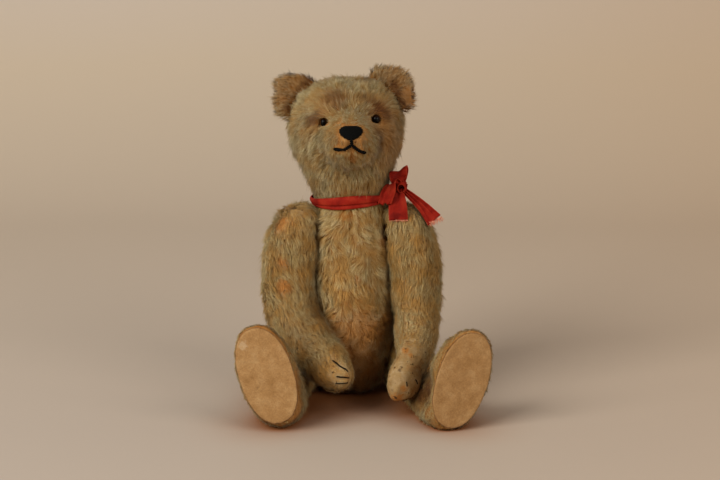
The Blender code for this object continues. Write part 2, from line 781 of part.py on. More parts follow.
def strip(name, path, widths, across, thickness):
    """A strip of cloth: a box section swept along a path, its width as near as it can be to one direction."""
    rings = []
    for i, point in enumerate(path):
        ahead = path[min(i + 1, len(path) - 1)]
        behind = path[max(i - 1, 0)]
        along = (ahead - behind).normalized()
        side = (across - along * across.dot(along)).normalized()
        flat = along.cross(side).normalized() * thickness / 2
        half = side * widths[i] / 2
        rings.append([point + half + flat, point - half + flat, point - half - flat, point + half - flat])
    return new_object(name, lofted(rings), RED_RIBBON)


def ribbon_band(frame):
    """The length that goes round the neck: a closed ring, wider in front."""
    steps = 28
    inner = NECK_RADIUS + 1.9 * MM
    shape = bmesh.new()
    rows = []
    for i in range(steps):
        angle = 2 * math.pi * i / steps
        out = Vector((math.sin(angle), -math.cos(angle), 0))
        front = 0.5 + 0.5 * math.cos(angle)
        half = RIBBON_BAND / 2 * (0.6 + 0.4 * front)
        middle = Vector((0, 0, 3.3 * MM - 1.8 * MM * front))
        low = middle - Vector((0, 0, half))
        high = middle + Vector((0, 0, half))
        near = out * inner
        far = out * (inner + RIBBON_THICKNESS)
        corners = (near + low, far + low, far + high, near + high)
        rows.append([shape.verts.new(frame @ c) for c in corners])
    for row, after in zip(rows, rows[1:] + rows[:1]):
        for j in range(4):
            k = (j + 1) % 4
            shape.faces.new([row[j], row[k], after[k], after[j]])
    bmesh.ops.recalc_face_normals(shape, faces=shape.faces)
    return new_object("neck_ribbon", shape, RED_RIBBON)


KNOT_PLACE = Vector((32.5, -15.0, 4.5)) * MM
KNOT_RADIUS = 4.2 * MM


def build_ribbon(frame):
    """The band, the knot beside the neck, two loops and two tails: one length of ribbon, so one solid."""
    band = ribbon_band(frame)
    knot_at = frame @ KNOT_PLACE
    knot = bmesh.new()
    bmesh.ops.create_uvsphere(knot, u_segments=12, v_segments=8, radius=KNOT_RADIUS)
    cut(band, new_object("ribbon_knot", knot, RED_RIBBON, Matrix.Translation(knot_at)), "UNION")
    left = Vector((1, 0, 0))
    up = Vector((0, 0, 1))
    back = Vector((0, 1, 0))
    double = 2.2 * MM
    side = left + 0.5 * back
    flat = up + 0.5 * left
    single = RIBBON_THICKNESS
    strips = (
        ("turn", ((-2, 1, 0), (-3, 0, -3), (-4, 2, -7)), 7.0, side, double),
        ("loop_up", ((-1, 0, 0), (-2, -1, 6), (0, -1, 11), (3, 0, 15)), 9.0, side, double),
        ("loop_down", ((-1, -1, 0), (-6, -3, -3), (-9, -5, -8), (-10, -6, -13)), 8.0, flat, double),
        ("tail_front", ((0, -2, -1), (0, -7, -6), (1, -10.5, -12), (2, -12, -17)), 12.5, left, single),
        ("tail_side", ((1, 0, 0), (10, -3, -3), (20, -6, -9), (29, -7, -17)), 10.0, flat, single),
    )
    for name, route, width, across, thickness in strips:
        path = [knot_at + Vector(p) * MM for p in smooth_table(route, 7)]
        widths = [width * MM * min(0.5 + 0.16 * i, 1.0) for i in range(len(path))]
        cut(band, strip("ribbon_" + name, path, widths, across, thickness), "UNION")
    merged(band)


# --------------------------------------------------------------------------------------------- main


def main():
    clear_scene()
    joints = all_joints()
    places = {joint.name: joint for joint in joints}
    build_torso(joints)
    build_head(places["neck"])
    for name in SIDES:
        build_arm(name, places["shoulder_" + name])
        build_leg(name, places["hip_" + name])
    for joint in joints:
        joint_hardware(joint)
    build_ribbon(head_frame())


main()
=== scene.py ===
"""Looks of the threadbare mohair bear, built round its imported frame.

The bear is plush mohair cloth sewn over firm stuffing: every limb is a skin of woven
backing, from which the pile grows. The felt pads, the stitched nose, mouth and claws, the
glass eyes and the ribbon are pieces of their own. All places are in millimetres in the
frame's own axes: left is +X, the bear faces -Y and sits on Z = 0.
"""

import logging
import math
from collections.abc import Callable, Sequence
from dataclasses import dataclass, field
from enum import Enum

import bmesh
import bpy
import numpy as np
from mathutils import Matrix, Vector
from mathutils.bvhtree import BVHTree
from mathutils.kdtree import KDTree


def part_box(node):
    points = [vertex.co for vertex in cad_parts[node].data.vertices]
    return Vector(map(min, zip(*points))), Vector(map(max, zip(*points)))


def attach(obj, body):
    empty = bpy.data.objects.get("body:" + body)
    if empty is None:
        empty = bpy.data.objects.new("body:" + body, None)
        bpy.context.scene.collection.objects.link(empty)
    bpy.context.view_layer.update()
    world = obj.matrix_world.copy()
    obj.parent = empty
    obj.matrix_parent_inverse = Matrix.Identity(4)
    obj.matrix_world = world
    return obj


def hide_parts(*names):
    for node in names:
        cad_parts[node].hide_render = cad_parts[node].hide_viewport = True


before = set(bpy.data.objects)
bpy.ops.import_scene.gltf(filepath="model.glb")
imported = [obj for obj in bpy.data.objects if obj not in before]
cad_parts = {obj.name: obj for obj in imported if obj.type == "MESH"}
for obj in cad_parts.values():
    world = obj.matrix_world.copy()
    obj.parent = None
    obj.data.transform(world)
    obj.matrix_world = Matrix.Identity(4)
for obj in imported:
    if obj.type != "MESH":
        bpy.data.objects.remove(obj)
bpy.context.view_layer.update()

LOG = logging.getLogger("bear")
MM = 0.001
Array = np.ndarray
Piece = bpy.types.Object
Socket = bpy.types.NodeSocket
Place = tuple[float, float, float]
Spot = tuple[Place, float, float]
Field = Callable[[Array], Array]


class Slot(Enum):
    """The record's material slots."""

    MOHAIR = "mohair"
    FELT = "felt"
    THREAD = "black_thread"
    GLASS = "eye_glass"
    WIRE = "steel_wire"
    BOARD = "board"
    RIBBON = "red_ribbon"


class Side(Enum):
    """The bear's own sides, with the sign of X on each."""

    LEFT = 1
    RIGHT = -1

    @property
    def word(self) -> str:
        """The side as the node names have it."""
        return self.name.lower()


# ----------------------------------------------------------------------------------- materials


def linear(code: str) -> tuple[float, float, float, float]:
    """Turns an sRGB hex colour to the linear colour that the shaders take.

    Args:
        code: six hex digits after a hash.

    Returns:
        Red, green and blue in linear light, and an alpha of 1.
    """
    parts = [int(code[i : i + 2], 16) / 255 for i in (1, 3, 5)]
    low = [c / 12.92 if c <= 0.04045 else ((c + 0.055) / 1.055) ** 2.4 for c in parts]
    return (low[0], low[1], low[2], 1)


def add_node(tree: bpy.types.NodeTree, kind: str, inputs: dict | None = None, **settings) -> bpy.types.Node:
    """Adds one shader node with its settings and links.

    Args:
        tree: the node tree of a material or of the world.
        kind: the node's type name without its ShaderNode prefix.
        inputs: for each input, by name or number, a socket to link or a value to set.
        **settings: the node's own properties.

    Returns:
        The new node.
    """
    made = tree.nodes.new("ShaderNode" + kind)
    for name, value in settings.items():
        setattr(made, name, value)
    for name, value in (inputs or {}).items():
        if isinstance(value, Socket):
            tree.links.new(value, made.inputs[name])
        else:
            made.inputs[name].default_value = value
    return made


@dataclass
class Graph:
    """A node tree, with the few patterns and mixes that the finishes are made of."""

    tree: bpy.types.NodeTree

    def add(self, kind: str, inputs: dict | None = None, out: int | str = 0, **settings) -> Socket:
        """Adds a node and gives its output of this name or number."""
        return add_node(self.tree, kind, inputs, **settings).outputs[out]

    def place(self) -> Socket:
        """The place on the object."""
        return self.add("TexCoord", out="Object")

    def parts(self, vector: Socket) -> list[Socket]:
        """The three numbers of a vector."""
        return list(add_node(self.tree, "SeparateXYZ", {0: vector}).outputs)

    def attribute(self, name: str, out: str = "Fac") -> Socket:
        """An attribute of the piece."""
        return self.add("Attribute", out=out, attribute_name=name)

    def noise(self, size: float, **inputs: float) -> Socket:
        """Clouds whose features are this many millimetres apart."""
        return self.add("TexNoise", {"Vector": self.place(), "Scale": 1 / (size * MM), **inputs})

    def wave(self, place: Socket, size: float, way: str, distortion: float) -> Socket:
        """Bands across the axis named way, this far apart in the unit of the place."""
        inputs = {"Vector": place, "Scale": 2 * math.pi / (20 * size), "Distortion": distortion}
        return self.add("TexWave", inputs, out=1, bands_direction=way)

    def maths(self, operation: str, *values: Socket | float, clamp: bool = False) -> Socket:
        """The result of one operation."""
        return self.add("Math", dict(enumerate(values)), operation=operation, use_clamp=clamp)

    def mapped(
        self, value: Socket, low: float, high: float, least: float = 0, most: float = 1, **settings: object
    ) -> Socket:
        """The value stretched so that low gives the least and high gives the most."""
        ends = {"From Min": low, "From Max": high, "To Min": least, "To Max": most}
        return self.add("MapRange", {"Value": value, **ends}, **settings)

    def ramp(self, value: Socket, *stops: tuple[float, str]) -> Socket:
        """Turns a value to a colour.

        Args:
            value: the value, from 0 to 1.
            *stops: the place and the hex colour of each stop, in order.

        Returns:
            The colour.
        """
        made = add_node(self.tree, "ValToRGB", {0: value})
        elements = made.color_ramp.elements
        for place, _ in stops[1:-1]:
            elements.new(place)
        for element, (place, code) in zip(elements, stops):
            element.position, element.color = place, linear(code)
        return made.outputs[0]

    def over(self, share: Socket, under: Socket, top: Socket | str) -> Socket:
        """One colour laid over another by this share."""
        shown = linear(top) if isinstance(top, str) else top
        return self.add("Mix", {"Factor": share, "A": under, "B": shown}, out=2, data_type="RGBA")

    def shaded(self, colour: Socket, level: Socket) -> Socket:
        """The colour at this brightness."""
        return self.add("HueSaturation", {"Color": colour, "Value": level})

    def surface(
        self, colour: Socket, height: Socket | None = None, strength: float = 0.3, depth: float = 0.1
    ) -> None:
        """Gives the shader its colour and its bump.

        Args:
            colour: the colour.
            height: the bump's height, from 0 to 1.
            strength: how much of the bump shows.
            depth: how deep the bump is, in mm.
        """
        inputs = self.tree.nodes["Principled BSDF"].inputs
        self.tree.links.new(colour, inputs["Base Color"])
        if height is not None:
            bump = self.add("Bump", {"Height": height, "Strength": strength, "Distance": depth * MM})
            self.tree.links.new(bump, inputs["Normal"])


@dataclass(frozen=True)
class Finish:
    """A finish: its name, and what its surface does with light.

    Subclasses add the colours in paint().
    """

    name: str
    roughness: float = 0.8
    metallic: float = 0.0
    specular: float = 0.3
    sheen: float = 0.0

    def material(self) -> bpy.types.Material:
        """Makes the material, or returns it if it has been made.

        Returns:
            The Blender material.
        """
        made = bpy.data.materials.get(self.name)
        if made is not None:
            return made
        made = bpy.data.materials.new(self.name)
        made.use_nodes = True
        inputs = made.node_tree.nodes["Principled BSDF"].inputs
        inputs["Roughness"].default_value = self.roughness
        inputs["Metallic"].default_value = self.metallic
        if not self.metallic:
            inputs["Specular IOR Level"].default_value = self.specular
        inputs["Sheen Weight"].default_value = self.sheen
        inputs["Sheen Roughness"].default_value = 0.4
        self.paint(Graph(made.node_tree))
        return made

    def paint(self, graph: Graph) -> None:
        """Adds the colours and the bump to the material's nodes."""
        raise NotImplementedError

    def on(self, piece: Piece) -> None:
        """Gives the whole piece this finish."""
        piece.data.materials.clear()
        piece.data.materials.append(self.material())


@dataclass(frozen=True)
class MohairFibre(Finish):
    """Clipped mohair pile, dyed gold: orange at the root, golden along it, faded grey at the tip.

    It reads three attributes of the tufts. The first, lie, holds how far along the tuft a point
    is, and two random numbers, of the tuft and of its lock. The second, wear, is 1 where the
    pile is rubbed. The third, tone, is below 1 where the pile is mixed toward a dark brown: painted
    shade in creases, in gaps between parts and on the side away from the key lamp, and real grime
    round stains. Above 1 the pile is paler, in places a painted highlight. Contrast is how far
    single tufts differ from their neighbours.
    """

    root: str = "#966830"
    golden: str = "#B28344"
    golden_tip: str = "#C6A364"
    grey: str = "#AE965F"
    grey_tip: str = "#DCCEA4"
    worn: str = "#C07A38"
    # Dark brown that a low tone mixes in: painted shade, and grime round stains.
    dark_brown: str = "#5E360E"
    faded: float = 0.45
    contrast: float = 1.0

    def paint(self, graph: Graph) -> None:
        """Mixes gold and faded tufts in patches about 14 mm wide and from lock to lock."""
        along, own, lock = graph.parts(graph.attribute("lie", "Vector"))
        wear, tone = graph.attribute("wear"), graph.attribute("tone")
        gold = graph.ramp(along, (0, self.root), (0.4, self.golden), (1, self.golden_tip))
        grey = graph.ramp(along, (0, self.root), (0.4, self.grey), (1, self.grey_tip))
        patches = graph.mapped(graph.noise(14, Detail=3, Roughness=0.6), 0.4, 0.62)
        locks = graph.maths("MULTIPLY_ADD", lock, 0.6, patches)
        faded = graph.maths("SUBTRACT", locks, 0.8 - self.faded, clamp=True)
        rubbed = graph.over(wear, graph.over(faded, gold, grey), self.worn)
        pale = graph.mapped(own, 0.78, 1, 0, 0.4 * self.contrast)
        level = graph.maths("MULTIPLY_ADD", own, 0.34 * self.contrast, 0.98 - 0.18 * self.contrast)
        # A tone above 1 brightens the pile, in places a painted highlight; below 1 it is mixed toward the
        # dark brown, which is painted shade and grime round stains.
        toned = graph.maths("MULTIPLY", graph.maths("ADD", level, pale), graph.maths("MAXIMUM", tone, 1))
        shade_and_grime = graph.maths("SUBTRACT", 1, tone, clamp=True)
        graph.surface(graph.over(shade_and_grime, graph.shaded(rubbed, toned), self.dark_brown))


@dataclass(frozen=True)
class WovenBacking(Finish):
    """Plain-woven cotton backing of mohair plush, dyed with the pile and bared where it is rubbed.

    The real threads are 0.5 mm apart. They are drawn 0.9 mm apart, because finer ones are lost in
    the render. The eye sees a faint grid, grime in patches and a few dark specks. Specked is how
    rare the specks are, from 0 to 1. It reads the attribute spot: above 0 at a stain, below 0 where
    the orange of the threads is bared.
    """

    cotton: str = "#AA7840"
    light: str = "#BB8F5B"
    dark_brown: str = "#985C24"
    speck: str = "#3A2817"
    bared: str = "#B8702C"
    thread: float = 0.9
    specked: float = 0.66

    def paint(self, graph: Graph) -> None:
        """Weaves two sets of threads, and lays grime and specks over them."""
        place = graph.place()
        warp, weft = (graph.wave(place, self.thread * MM, way, 1.5) for way in "XZ")
        weave = graph.maths("MULTIPLY", warp, weft)
        blotch = graph.noise(8, Detail=5, Roughness=0.62)
        cloth = graph.ramp(blotch, (0.3, self.dark_brown), (0.5, self.cotton), (0.7, self.light))
        specked = graph.mapped(graph.noise(2.6, Detail=3), self.specked, self.specked + 0.06)
        spot = graph.attribute("spot")
        rub = graph.maths("MULTIPLY", spot, -1, clamp=True)
        stain = graph.maths("MAXIMUM", spot, specked, clamp=True)
        stained = graph.over(stain, graph.over(rub, cloth, self.bared), self.speck)
        graph.surface(graph.shaded(stained, graph.mapped(weave, 0, 1, 0.88, 1.06)), weave, 0.3, 0.15)


@dataclass(frozen=True)
class WoolFelt(Finish):
    """Pressed wool felt, tan, with matted fibres, old stains and paler rubs.

    It reads two attributes: rim is 1 on the turned edge, where the sewing draws in soil, and
    spot is above 0 at a dark stain and below 0 at a rub. Mottle is the size of its patches in
    mm. The real fibres are finer than the 1 mm at which they are drawn, which is as fine as shows.
    """

    wool: str = "#A27C4F"
    pale: str = "#AF8C5F"
    stain: str = "#956F43"
    seam: str = "#644222"
    dark: str = "#3E2814"
    rubbed: str = "#C4AC8A"
    mottle: float = 8.0

    def paint(self, graph: Graph) -> None:
        """Mottles the wool at two sizes and raises its fibres."""
        broad = graph.noise(self.mottle, Detail=6, Roughness=0.62)
        fibre = graph.noise(1, Detail=4, Distortion=1)
        spot = graph.attribute("spot")
        wool = graph.ramp(broad, (0.3, self.stain), (0.5, self.wool), (0.72, self.pale))
        colour = graph.shaded(wool, graph.mapped(fibre, 0.3, 0.7, 0.84, 1.14))
        colour = graph.over(graph.attribute("rim"), colour, self.seam)
        colour = graph.over(graph.maths("MULTIPLY", spot, -1, clamp=True), colour, self.rubbed)
        colour = graph.over(graph.maths("MULTIPLY", spot, 1, clamp=True), colour, self.dark)
        graph.surface(colour, fibre, 0.35, 0.3)


@dataclass(frozen=True)
class CottonThread(Finish):
    """Black mercerised embroidery cotton, two-ply: soft black with a dull gloss and rubbed highs.

    Its fibres are drawn 0.5 mm apart, coarser than the real ones, which would be lost.
    """

    black: str = "#040505"
    rubbed: str = "#0E0E0D"

    def paint(self, graph: Graph) -> None:
        """Streaks the black with fibres."""
        fibre = graph.noise(0.5, Detail=3)
        graph.surface(graph.ramp(fibre, (0.45, self.black), (0.8, self.rubbed)), fibre, 0.3, 0.1)


@dataclass(frozen=True)
class BlownGlass(Finish):
    """Lampworked brown glass over a black pupil: the eye sees a deep amber ring and a sharp glint.

    It reads the attribute ring, the distance from the pupil's middle in millimetres.
    """

    pupil: str = "#050505"
    amber: str = "#1E0B05"
    rim: str = "#0C0504"

    def paint(self, graph: Graph) -> None:
        """Rings the pupil with amber that darkens to the rim, with faint spokes."""
        bent = graph.maths("MULTIPLY_ADD", graph.noise(0.8, Detail=2), 0.5, graph.attribute("ring"))
        pupil, amber = ((0, self.pupil), (0.6, self.pupil)), ((0.68, self.amber), (0.85, self.amber))
        graph.surface(graph.ramp(graph.mapped(bent, 0, 3.6), *pupil, *amber, (1, self.rim)))
        inputs = graph.tree.nodes["Principled BSDF"].inputs
        for name, value in (("Coat Weight", 0.12), ("Coat Roughness", 0.05), ("IOR", 1.52)):
            inputs[name].default_value = value


@dataclass(frozen=True)
class RayonRibbon(Finish):
    """Woven rayon ribbon, red, with weft ribs 0.7 mm apart and a soft lengthwise lustre.

    It reads the ribbon's own map, whose V runs along the ribbon and U across it, in mm.
    """

    red: str = "#8E1B0D"
    deep: str = "#680D06"
    faded: str = "#A3311C"

    def paint(self, graph: Graph) -> None:
        """Lays ribs across the ribbon, and fades it in cloudy patches and at its edges."""
        cloth = graph.add("UVMap", uv_map="cloth")
        ribs = graph.wave(cloth, 0.7, "Y", 0.4)
        cloud = graph.noise(9, Detail=4, Roughness=0.6)
        colour = graph.ramp(cloud, (0.28, self.deep), (0.5, self.red), (0.74, self.faded))
        edge = graph.mapped(graph.maths("ABSOLUTE", graph.parts(cloth)[0]), 5.9, 6.6)
        worn = graph.over(edge, colour, self.faded)
        graph.surface(graph.shaded(worn, graph.mapped(ribs, 0, 1, 0.88, 1.06)), ribs, 0.3, 0.12)


@dataclass(frozen=True)
class DullSurface(Finish):
    """A plain mottled surface: two close colours in grains of one size, with the same grain as bump."""

    light: str = "#808080"
    dark: str = "#606060"
    grain: float = 1.0
    depth: float = 0.2

    def paint(self, graph: Graph) -> None:
        """Mottles and roughens the surface at the grain's size."""
        grains = graph.noise(self.grain, Detail=5)
        graph.surface(graph.ramp(grains, (0.35, self.dark), (0.65, self.light)), grains, 0.4, self.depth)


@dataclass(frozen=True)
class PaperSweep(Finish):
    """Matt studio paper: pinkish grey, and warmer to the bear's left.

    Close under the bear, ambient occlusion mixes in a painted shadow, warm dark brown as if lit by light off
    the golden fur. Beyond 0.9 m to either side it pales, painted light that makes up for the lamps' light
    falling off where a view from the side sees its edge.
    """

    near: str = "#BDB0A2"
    behind: str = "#DDCCB4"
    top: str = "#E2DCE2"
    warm: str = "#DCBE9C"
    glow: str = "#94530F"
    far: str = "#FFF8F0"

    def paint(self, graph: Graph) -> None:
        """Colours the paper from its near edge to its top and across, paler where the lamps' light falls off,
        which is painted light, with very faint clouding and a painted shadow under the bear.
        """
        place = graph.place()
        across, along, up = graph.parts(place)
        share = graph.mapped(graph.maths("ADD", along, up), -0.6, 2.4)
        clouds = graph.add("TexNoise", {"Vector": place, "Scale": 1.2, "Detail": 2})
        bent = graph.maths("MULTIPLY_ADD", clouds, 0.06, share)
        # Painted light: the ramp pales the paper from the near floor up the backdrop, to make up for the
        # lamps' light falling off.
        colour = graph.ramp(bent, (0, self.near), (0.2, self.near), (0.62, self.behind), (1, self.top))
        left = graph.mapped(across, -0.2, 0.9, 0, 0.6, interpolation_type="SMOOTHSTEP")
        # Painted light: beyond 0.9 m to either side the paper pales further.
        aside = graph.mapped(graph.maths("ABSOLUTE", across), 0.9, 2.2)
        # Painted shadow: near the bear, ambient occlusion mixes in a warm dark brown.
        hidden = graph.add("AmbientOcclusion", {"Distance": 0.055}, out="AO", samples=12)
        colour = graph.over(aside, graph.over(left, colour, self.warm), self.far)
        graph.surface(graph.over(graph.mapped(hidden, 0.92, 0.2, 0, 0.9), colour, self.glow))


BODY_PILE = MohairFibre(
    "mohair_pile_clipped_golden", roughness=0.6, specular=0.2, sheen=0.1, contrast=0.8,
    golden="#AA7E40", golden_tip="#BE9C5E",
)
LIMB_PILE = MohairFibre(
    "mohair_pile_clipped_dingy", roughness=0.6, specular=0.25, sheen=0.08, contrast=0.85,
    golden="#A87A3A", golden_tip="#BC9754", grey="#A08751", grey_tip="#CBB98B", worn="#B97C3A",
)
HEAD_PILE = MohairFibre(
    "mohair_pile_clipped_faded", roughness=0.6, specular=0.25, sheen=0.1, faded=0.62, contrast=0.62,
    golden="#9C773F", golden_tip="#B39661", grey="#9C8859", grey_tip="#C4B793", worn="#B27436",
)
BACKING = WovenBacking("mohair_backing_woven_cotton", roughness=0.95, specular=0.12)
RUBBED_BACKING = WovenBacking(
    "mohair_backing_rubbed_pale", roughness=0.95, specular=0.12, specked=0.63,
    cotton="#A5875A", light="#B99E75", dark_brown="#9A6E3E", speck="#4A3420", bared="#B0702F",
)
FELT = WoolFelt("pressed_wool_felt_tan", roughness=0.95, specular=0.12, sheen=0.15)
EATEN_FELT = WoolFelt(
    "pressed_wool_felt_moth_eaten", roughness=0.95, specular=0.1, mottle=4.5,
    wool="#957241", pale="#B0915F", stain="#6F4D28", rubbed="#B5682E",
)
THREAD = CottonThread("mercerised_cotton_thread_black", roughness=0.65, specular=0.07)
GLASS = BlownGlass("lampworked_glass_brown", roughness=0.07, specular=0.08)
RIBBON = RayonRibbon("woven_rayon_ribbon_red", roughness=0.75, specular=0.12)
FRAYED = DullSurface("frayed_rayon_ends", roughness=0.8, light="#E3A582", dark="#BE5238", grain=1.2)
BOARD = DullSurface("pressed_fibre_board", roughness=0.9, light="#9A7B55", dark="#6E5236", grain=0.8)
WIRE = DullSurface(
    "drawn_steel_wire_dulled", roughness=0.45, metallic=1, light="#9C9A96", dark="#6B6661", grain=0.5
)
SWEEP = PaperSweep("studio_paper_matt", roughness=0.95, specular=0.05)


# ------------------------------------------------------------------------------ modelling by hand


def only(*pieces: Piece) -> None:
    """Selects these pieces and nothing else, and makes the first one active."""
    if bpy.context.object is not None and bpy.context.object.mode != "OBJECT":
        bpy.ops.object.mode_set(mode="OBJECT")
    bpy.ops.object.select_all(action="DESELECT")
    for piece in pieces:
        piece.select_set(True)
    bpy.context.view_layer.objects.active = pieces[0] if pieces else None


def modify(piece: Piece, kind: str, **settings) -> None:
    """Adds one modifier to the piece and applies it.

    Args:
        piece: the mesh object.
        kind: the modifier's type.
        **settings: its properties.
    """
    added = piece.modifiers.new(kind.lower(), kind)
    for name, value in settings.items():
        setattr(added, name, value)
    only(piece)
    bpy.ops.object.modifier_apply(modifier=added.name)


def joined(name: str, pieces: Sequence[Piece]) -> Piece:
    """Joins several meshes to one piece.

    Args:
        name: the name of the whole.
        pieces: its parts; the first one is kept.

    Returns:
        The joined object.
    """
    only(*pieces)
    if len(pieces) > 1:
        bpy.ops.object.join()
    pieces[0].name = pieces[0].data.name = name
    return pieces[0]


def linked(name: str, data: bpy.types.ID) -> Piece:
    """A new object with this data, in the scene."""
    made = bpy.data.objects.new(name, data)
    bpy.context.scene.collection.objects.link(made)
    return made


def meshed(name: str, points: Sequence, faces: Sequence) -> Piece:
    """Makes a smooth-shaded mesh object from points and faces.

    Args:
        name: the object's name.
        points: its vertices, in metres.
        faces: the vertex numbers of each face.

    Returns:
        The new object, at the origin.
    """
    mesh = bpy.data.meshes.new(name)
    mesh.from_pydata([tuple(p) for p in points], [], [tuple(f) for f in faces])
    mesh.shade_smooth()
    return linked(name, mesh)


def copied(node: str, name: str) -> Piece:
    """Copies a CAD node's mesh to a new piece, with its loose triangles merged.

    Args:
        node: the CAD node.
        name: the new piece's name.

    Returns:
        The new object, at the origin.
    """
    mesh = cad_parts[node].data.copy()
    mesh.name = name
    mesh.materials.clear()
    made = linked(name, mesh)
    shape = bmesh.new()
    shape.from_mesh(mesh)
    bmesh.ops.remove_doubles(shape, verts=shape.verts, dist=0.002 * MM)
    bmesh.ops.recalc_face_normals(shape, faces=shape.faces)
    shape.to_mesh(mesh)
    shape.free()
    mesh.shade_smooth()
    return made


def tree_of(piece: Piece) -> BVHTree:
    """The piece's surface, for finding what is near or in the way."""
    mesh = piece.data
    return BVHTree.FromPolygons([v.co for v in mesh.vertices], [tuple(p.vertices) for p in mesh.polygons])


def shape_of(node: str) -> tuple[BVHTree, Array]:
    """A CAD node's surface, and its vertices in millimetres."""
    spare = copied(node, "spare")
    shape = tree_of(spare), points_of(spare.data)
    bpy.data.objects.remove(spare)
    return shape


def rows_of(items: bpy.types.bpy_prop_collection, key: str) -> Array:
    """The vector of this key of each item, one row each."""
    flat = np.empty(len(items) * 3, np.float32)
    items.foreach_get(key, flat)
    return flat.reshape(-1, 3).astype(float)


def points_of(mesh: bpy.types.Mesh) -> Array:
    """The mesh's vertices in millimetres, one row each."""
    return rows_of(mesh.vertices, "co") / MM


def normals_of(mesh: bpy.types.Mesh) -> Array:
    """The mesh's vertex normals, one row each."""
    return rows_of(mesh.vertex_normals, "vector")


def set_points(mesh: bpy.types.Mesh, points: Array) -> None:
    """Moves the mesh's vertices to these places, in millimetres."""
    mesh.vertices.foreach_set("co", (points * MM).astype(np.float32).ravel())
    mesh.update()


def note(mesh: bpy.types.Mesh, name: str, values: Array) -> None:
    """Writes one number for each vertex as an attribute."""
    mesh.attributes.new(name, "FLOAT", "POINT").data.foreach_set("value", values.astype(np.float32))


def unit(rows: Array) -> Array:
    """Each row scaled to length 1."""
    return rows / np.maximum(np.linalg.norm(rows, axis=1, keepdims=True), 1e-9)


def away_from(centre: Place, points: Array) -> Array:
    """How far each point is from the centre."""
    return np.linalg.norm(points - np.array(centre), axis=1)


def gone_along(path: Array) -> Array:
    """How far along the path each of its points is."""
    return np.concatenate([[0], np.cumsum(np.linalg.norm(np.diff(path, axis=0), axis=1))])


def ripple(points: Array, size: float, seed: int) -> Array:
    """Smooth random unevenness over space.

    Args:
        points: places in millimetres, one row each.
        size: the typical distance between two rises, in millimetres.
        seed: which unevenness.

    Returns:
        About -1 to 1 for each point.
    """
    waves = 14
    rng = np.random.default_rng(seed)
    ways = unit(rng.normal(size=(waves, 3))) * rng.uniform(0.6, 1.6, (waves, 1)) * 2 * math.pi / size
    return np.sin(points @ ways.T + rng.uniform(0, 2 * math.pi, waves)).sum(axis=1) / 4.2


def eased(low: float, high: float, values: Array) -> Array:
    """0 below low, 1 above high, and a smooth step between."""
    share = np.clip((values - low) / (high - low), 0, 1)
    return share * share * (3 - 2 * share)


def smooth_line(stops: Sequence[Sequence[float]], count: int) -> Array:
    """A smooth curve through rows of numbers.

    Args:
        stops: the rows that it goes through.
        count: how many rows to return.

    Returns:
        The curve, evenly spaced in its parameter.
    """
    rows = np.array(stops, float)
    padded = np.vstack([2 * rows[0] - rows[1], rows, 2 * rows[-1] - rows[-2]])
    places = np.linspace(0, len(rows) - 1 - 1e-9, count)
    base = places.astype(int)
    t = (places - base)[:, None]
    a, b, c, d = (padded[base + k] for k in range(4))
    return 0.5 * (2 * b + (c - a) * t + (2 * a - 5 * b + 4 * c - d) * t**2 + (3 * b - a - 3 * c + d) * t**3)


def finished(piece: Piece, finish: Finish, body: str) -> Piece:
    """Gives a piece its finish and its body.

    Args:
        piece: the piece, at rest in its place.
        finish: its material.
        body: the CAD body that it moves with.

    Returns:
        The same piece.
    """
    finish.on(piece)
    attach(piece, body)
    return piece


# --------------------------------------------------------------------------------- skin and pile


@dataclass(frozen=True)
class WornPlace:
    """A place where the pile is rubbed thin: within a radius of the line between two points.

    Attributes:
        start: one end of the line, in mm.
        end: its other end, the same as start for a round place.
        radius: how far from the line the wear reaches, in mm.
        cover: the share of the tufts that is left in its middle.
        length: the share of their length that is left there.
        dye: how far the tufts that are left show the orange of their roots, from 0 to 1.
    """

    start: Place
    end: Place
    radius: float
    cover: float = 0.1
    length: float = 0.4
    dye: float = 0.6

    def strength(self, points: Array) -> Array:
        """How worn each point is, from 0 to 1, with a ragged edge."""
        start, end = np.array(self.start, float), np.array(self.end, float)
        along = end - start
        share = np.clip((points - start) @ along / max(along @ along, 1e-9), 0, 1)
        away = np.linalg.norm(points - start - share[:, None] * along, axis=1)
        ragged = away / self.radius + 0.22 * ripple(points, 3.5, 5)
        return 1 - eased(0.45, 1.05, ragged)


def round_place(
    centre: Place, radius: float, cover: float = 0.1, length: float = 0.4, dye: float = 0.6
) -> WornPlace:
    """A round worn place about a centre, in mm."""
    return WornPlace(centre, centre, radius, cover, length, dye)


@dataclass(frozen=True)
class Push:
    """A place where the stuffing is pressed in or stands out.

    Attributes:
        centre: its middle, in mm.
        radius: how far it reaches, in mm.
        move: the way that the cloth moves in its middle, in mm.
    """

    centre: Place
    radius: float
    move: Place

    def moved(self, points: Array) -> Array:
        """The points after the push."""
        away = away_from(self.centre, points) / self.radius
        return points + (np.clip(1 - away**2, 0, 1) ** 2)[:, None] * np.array(self.move)


@dataclass(frozen=True)
class Tone:
    """A place where the pile's brightness changes: some are painted shade and painted light, others real
    grime and paler fibre.

    Attributes:
        centre: its middle, in mm.
        radius: how far it reaches, in mm.
        level: the brightness of the pile in its middle, where 1 is as elsewhere.
    """

    centre: Place
    radius: float
    level: float


def tone_of(points: Array, tones: Sequence[Tone]) -> Array:
    """The brightness of the pile at each point, from all the places that tone it.

    Args:
        points: places in millimetres, one row each.
        tones: the places that change its brightness.

    Returns:
        About 1 for each point, less where it is darker and more where it is paler.
    """
    level = np.ones(len(points))
    for tone in tones:
        away = away_from(tone.centre, points) / tone.radius + 0.15 * ripple(points, 8, 9)
        level *= 1 + (tone.level - 1) * (1 - eased(0.3, 1, away))
    return level


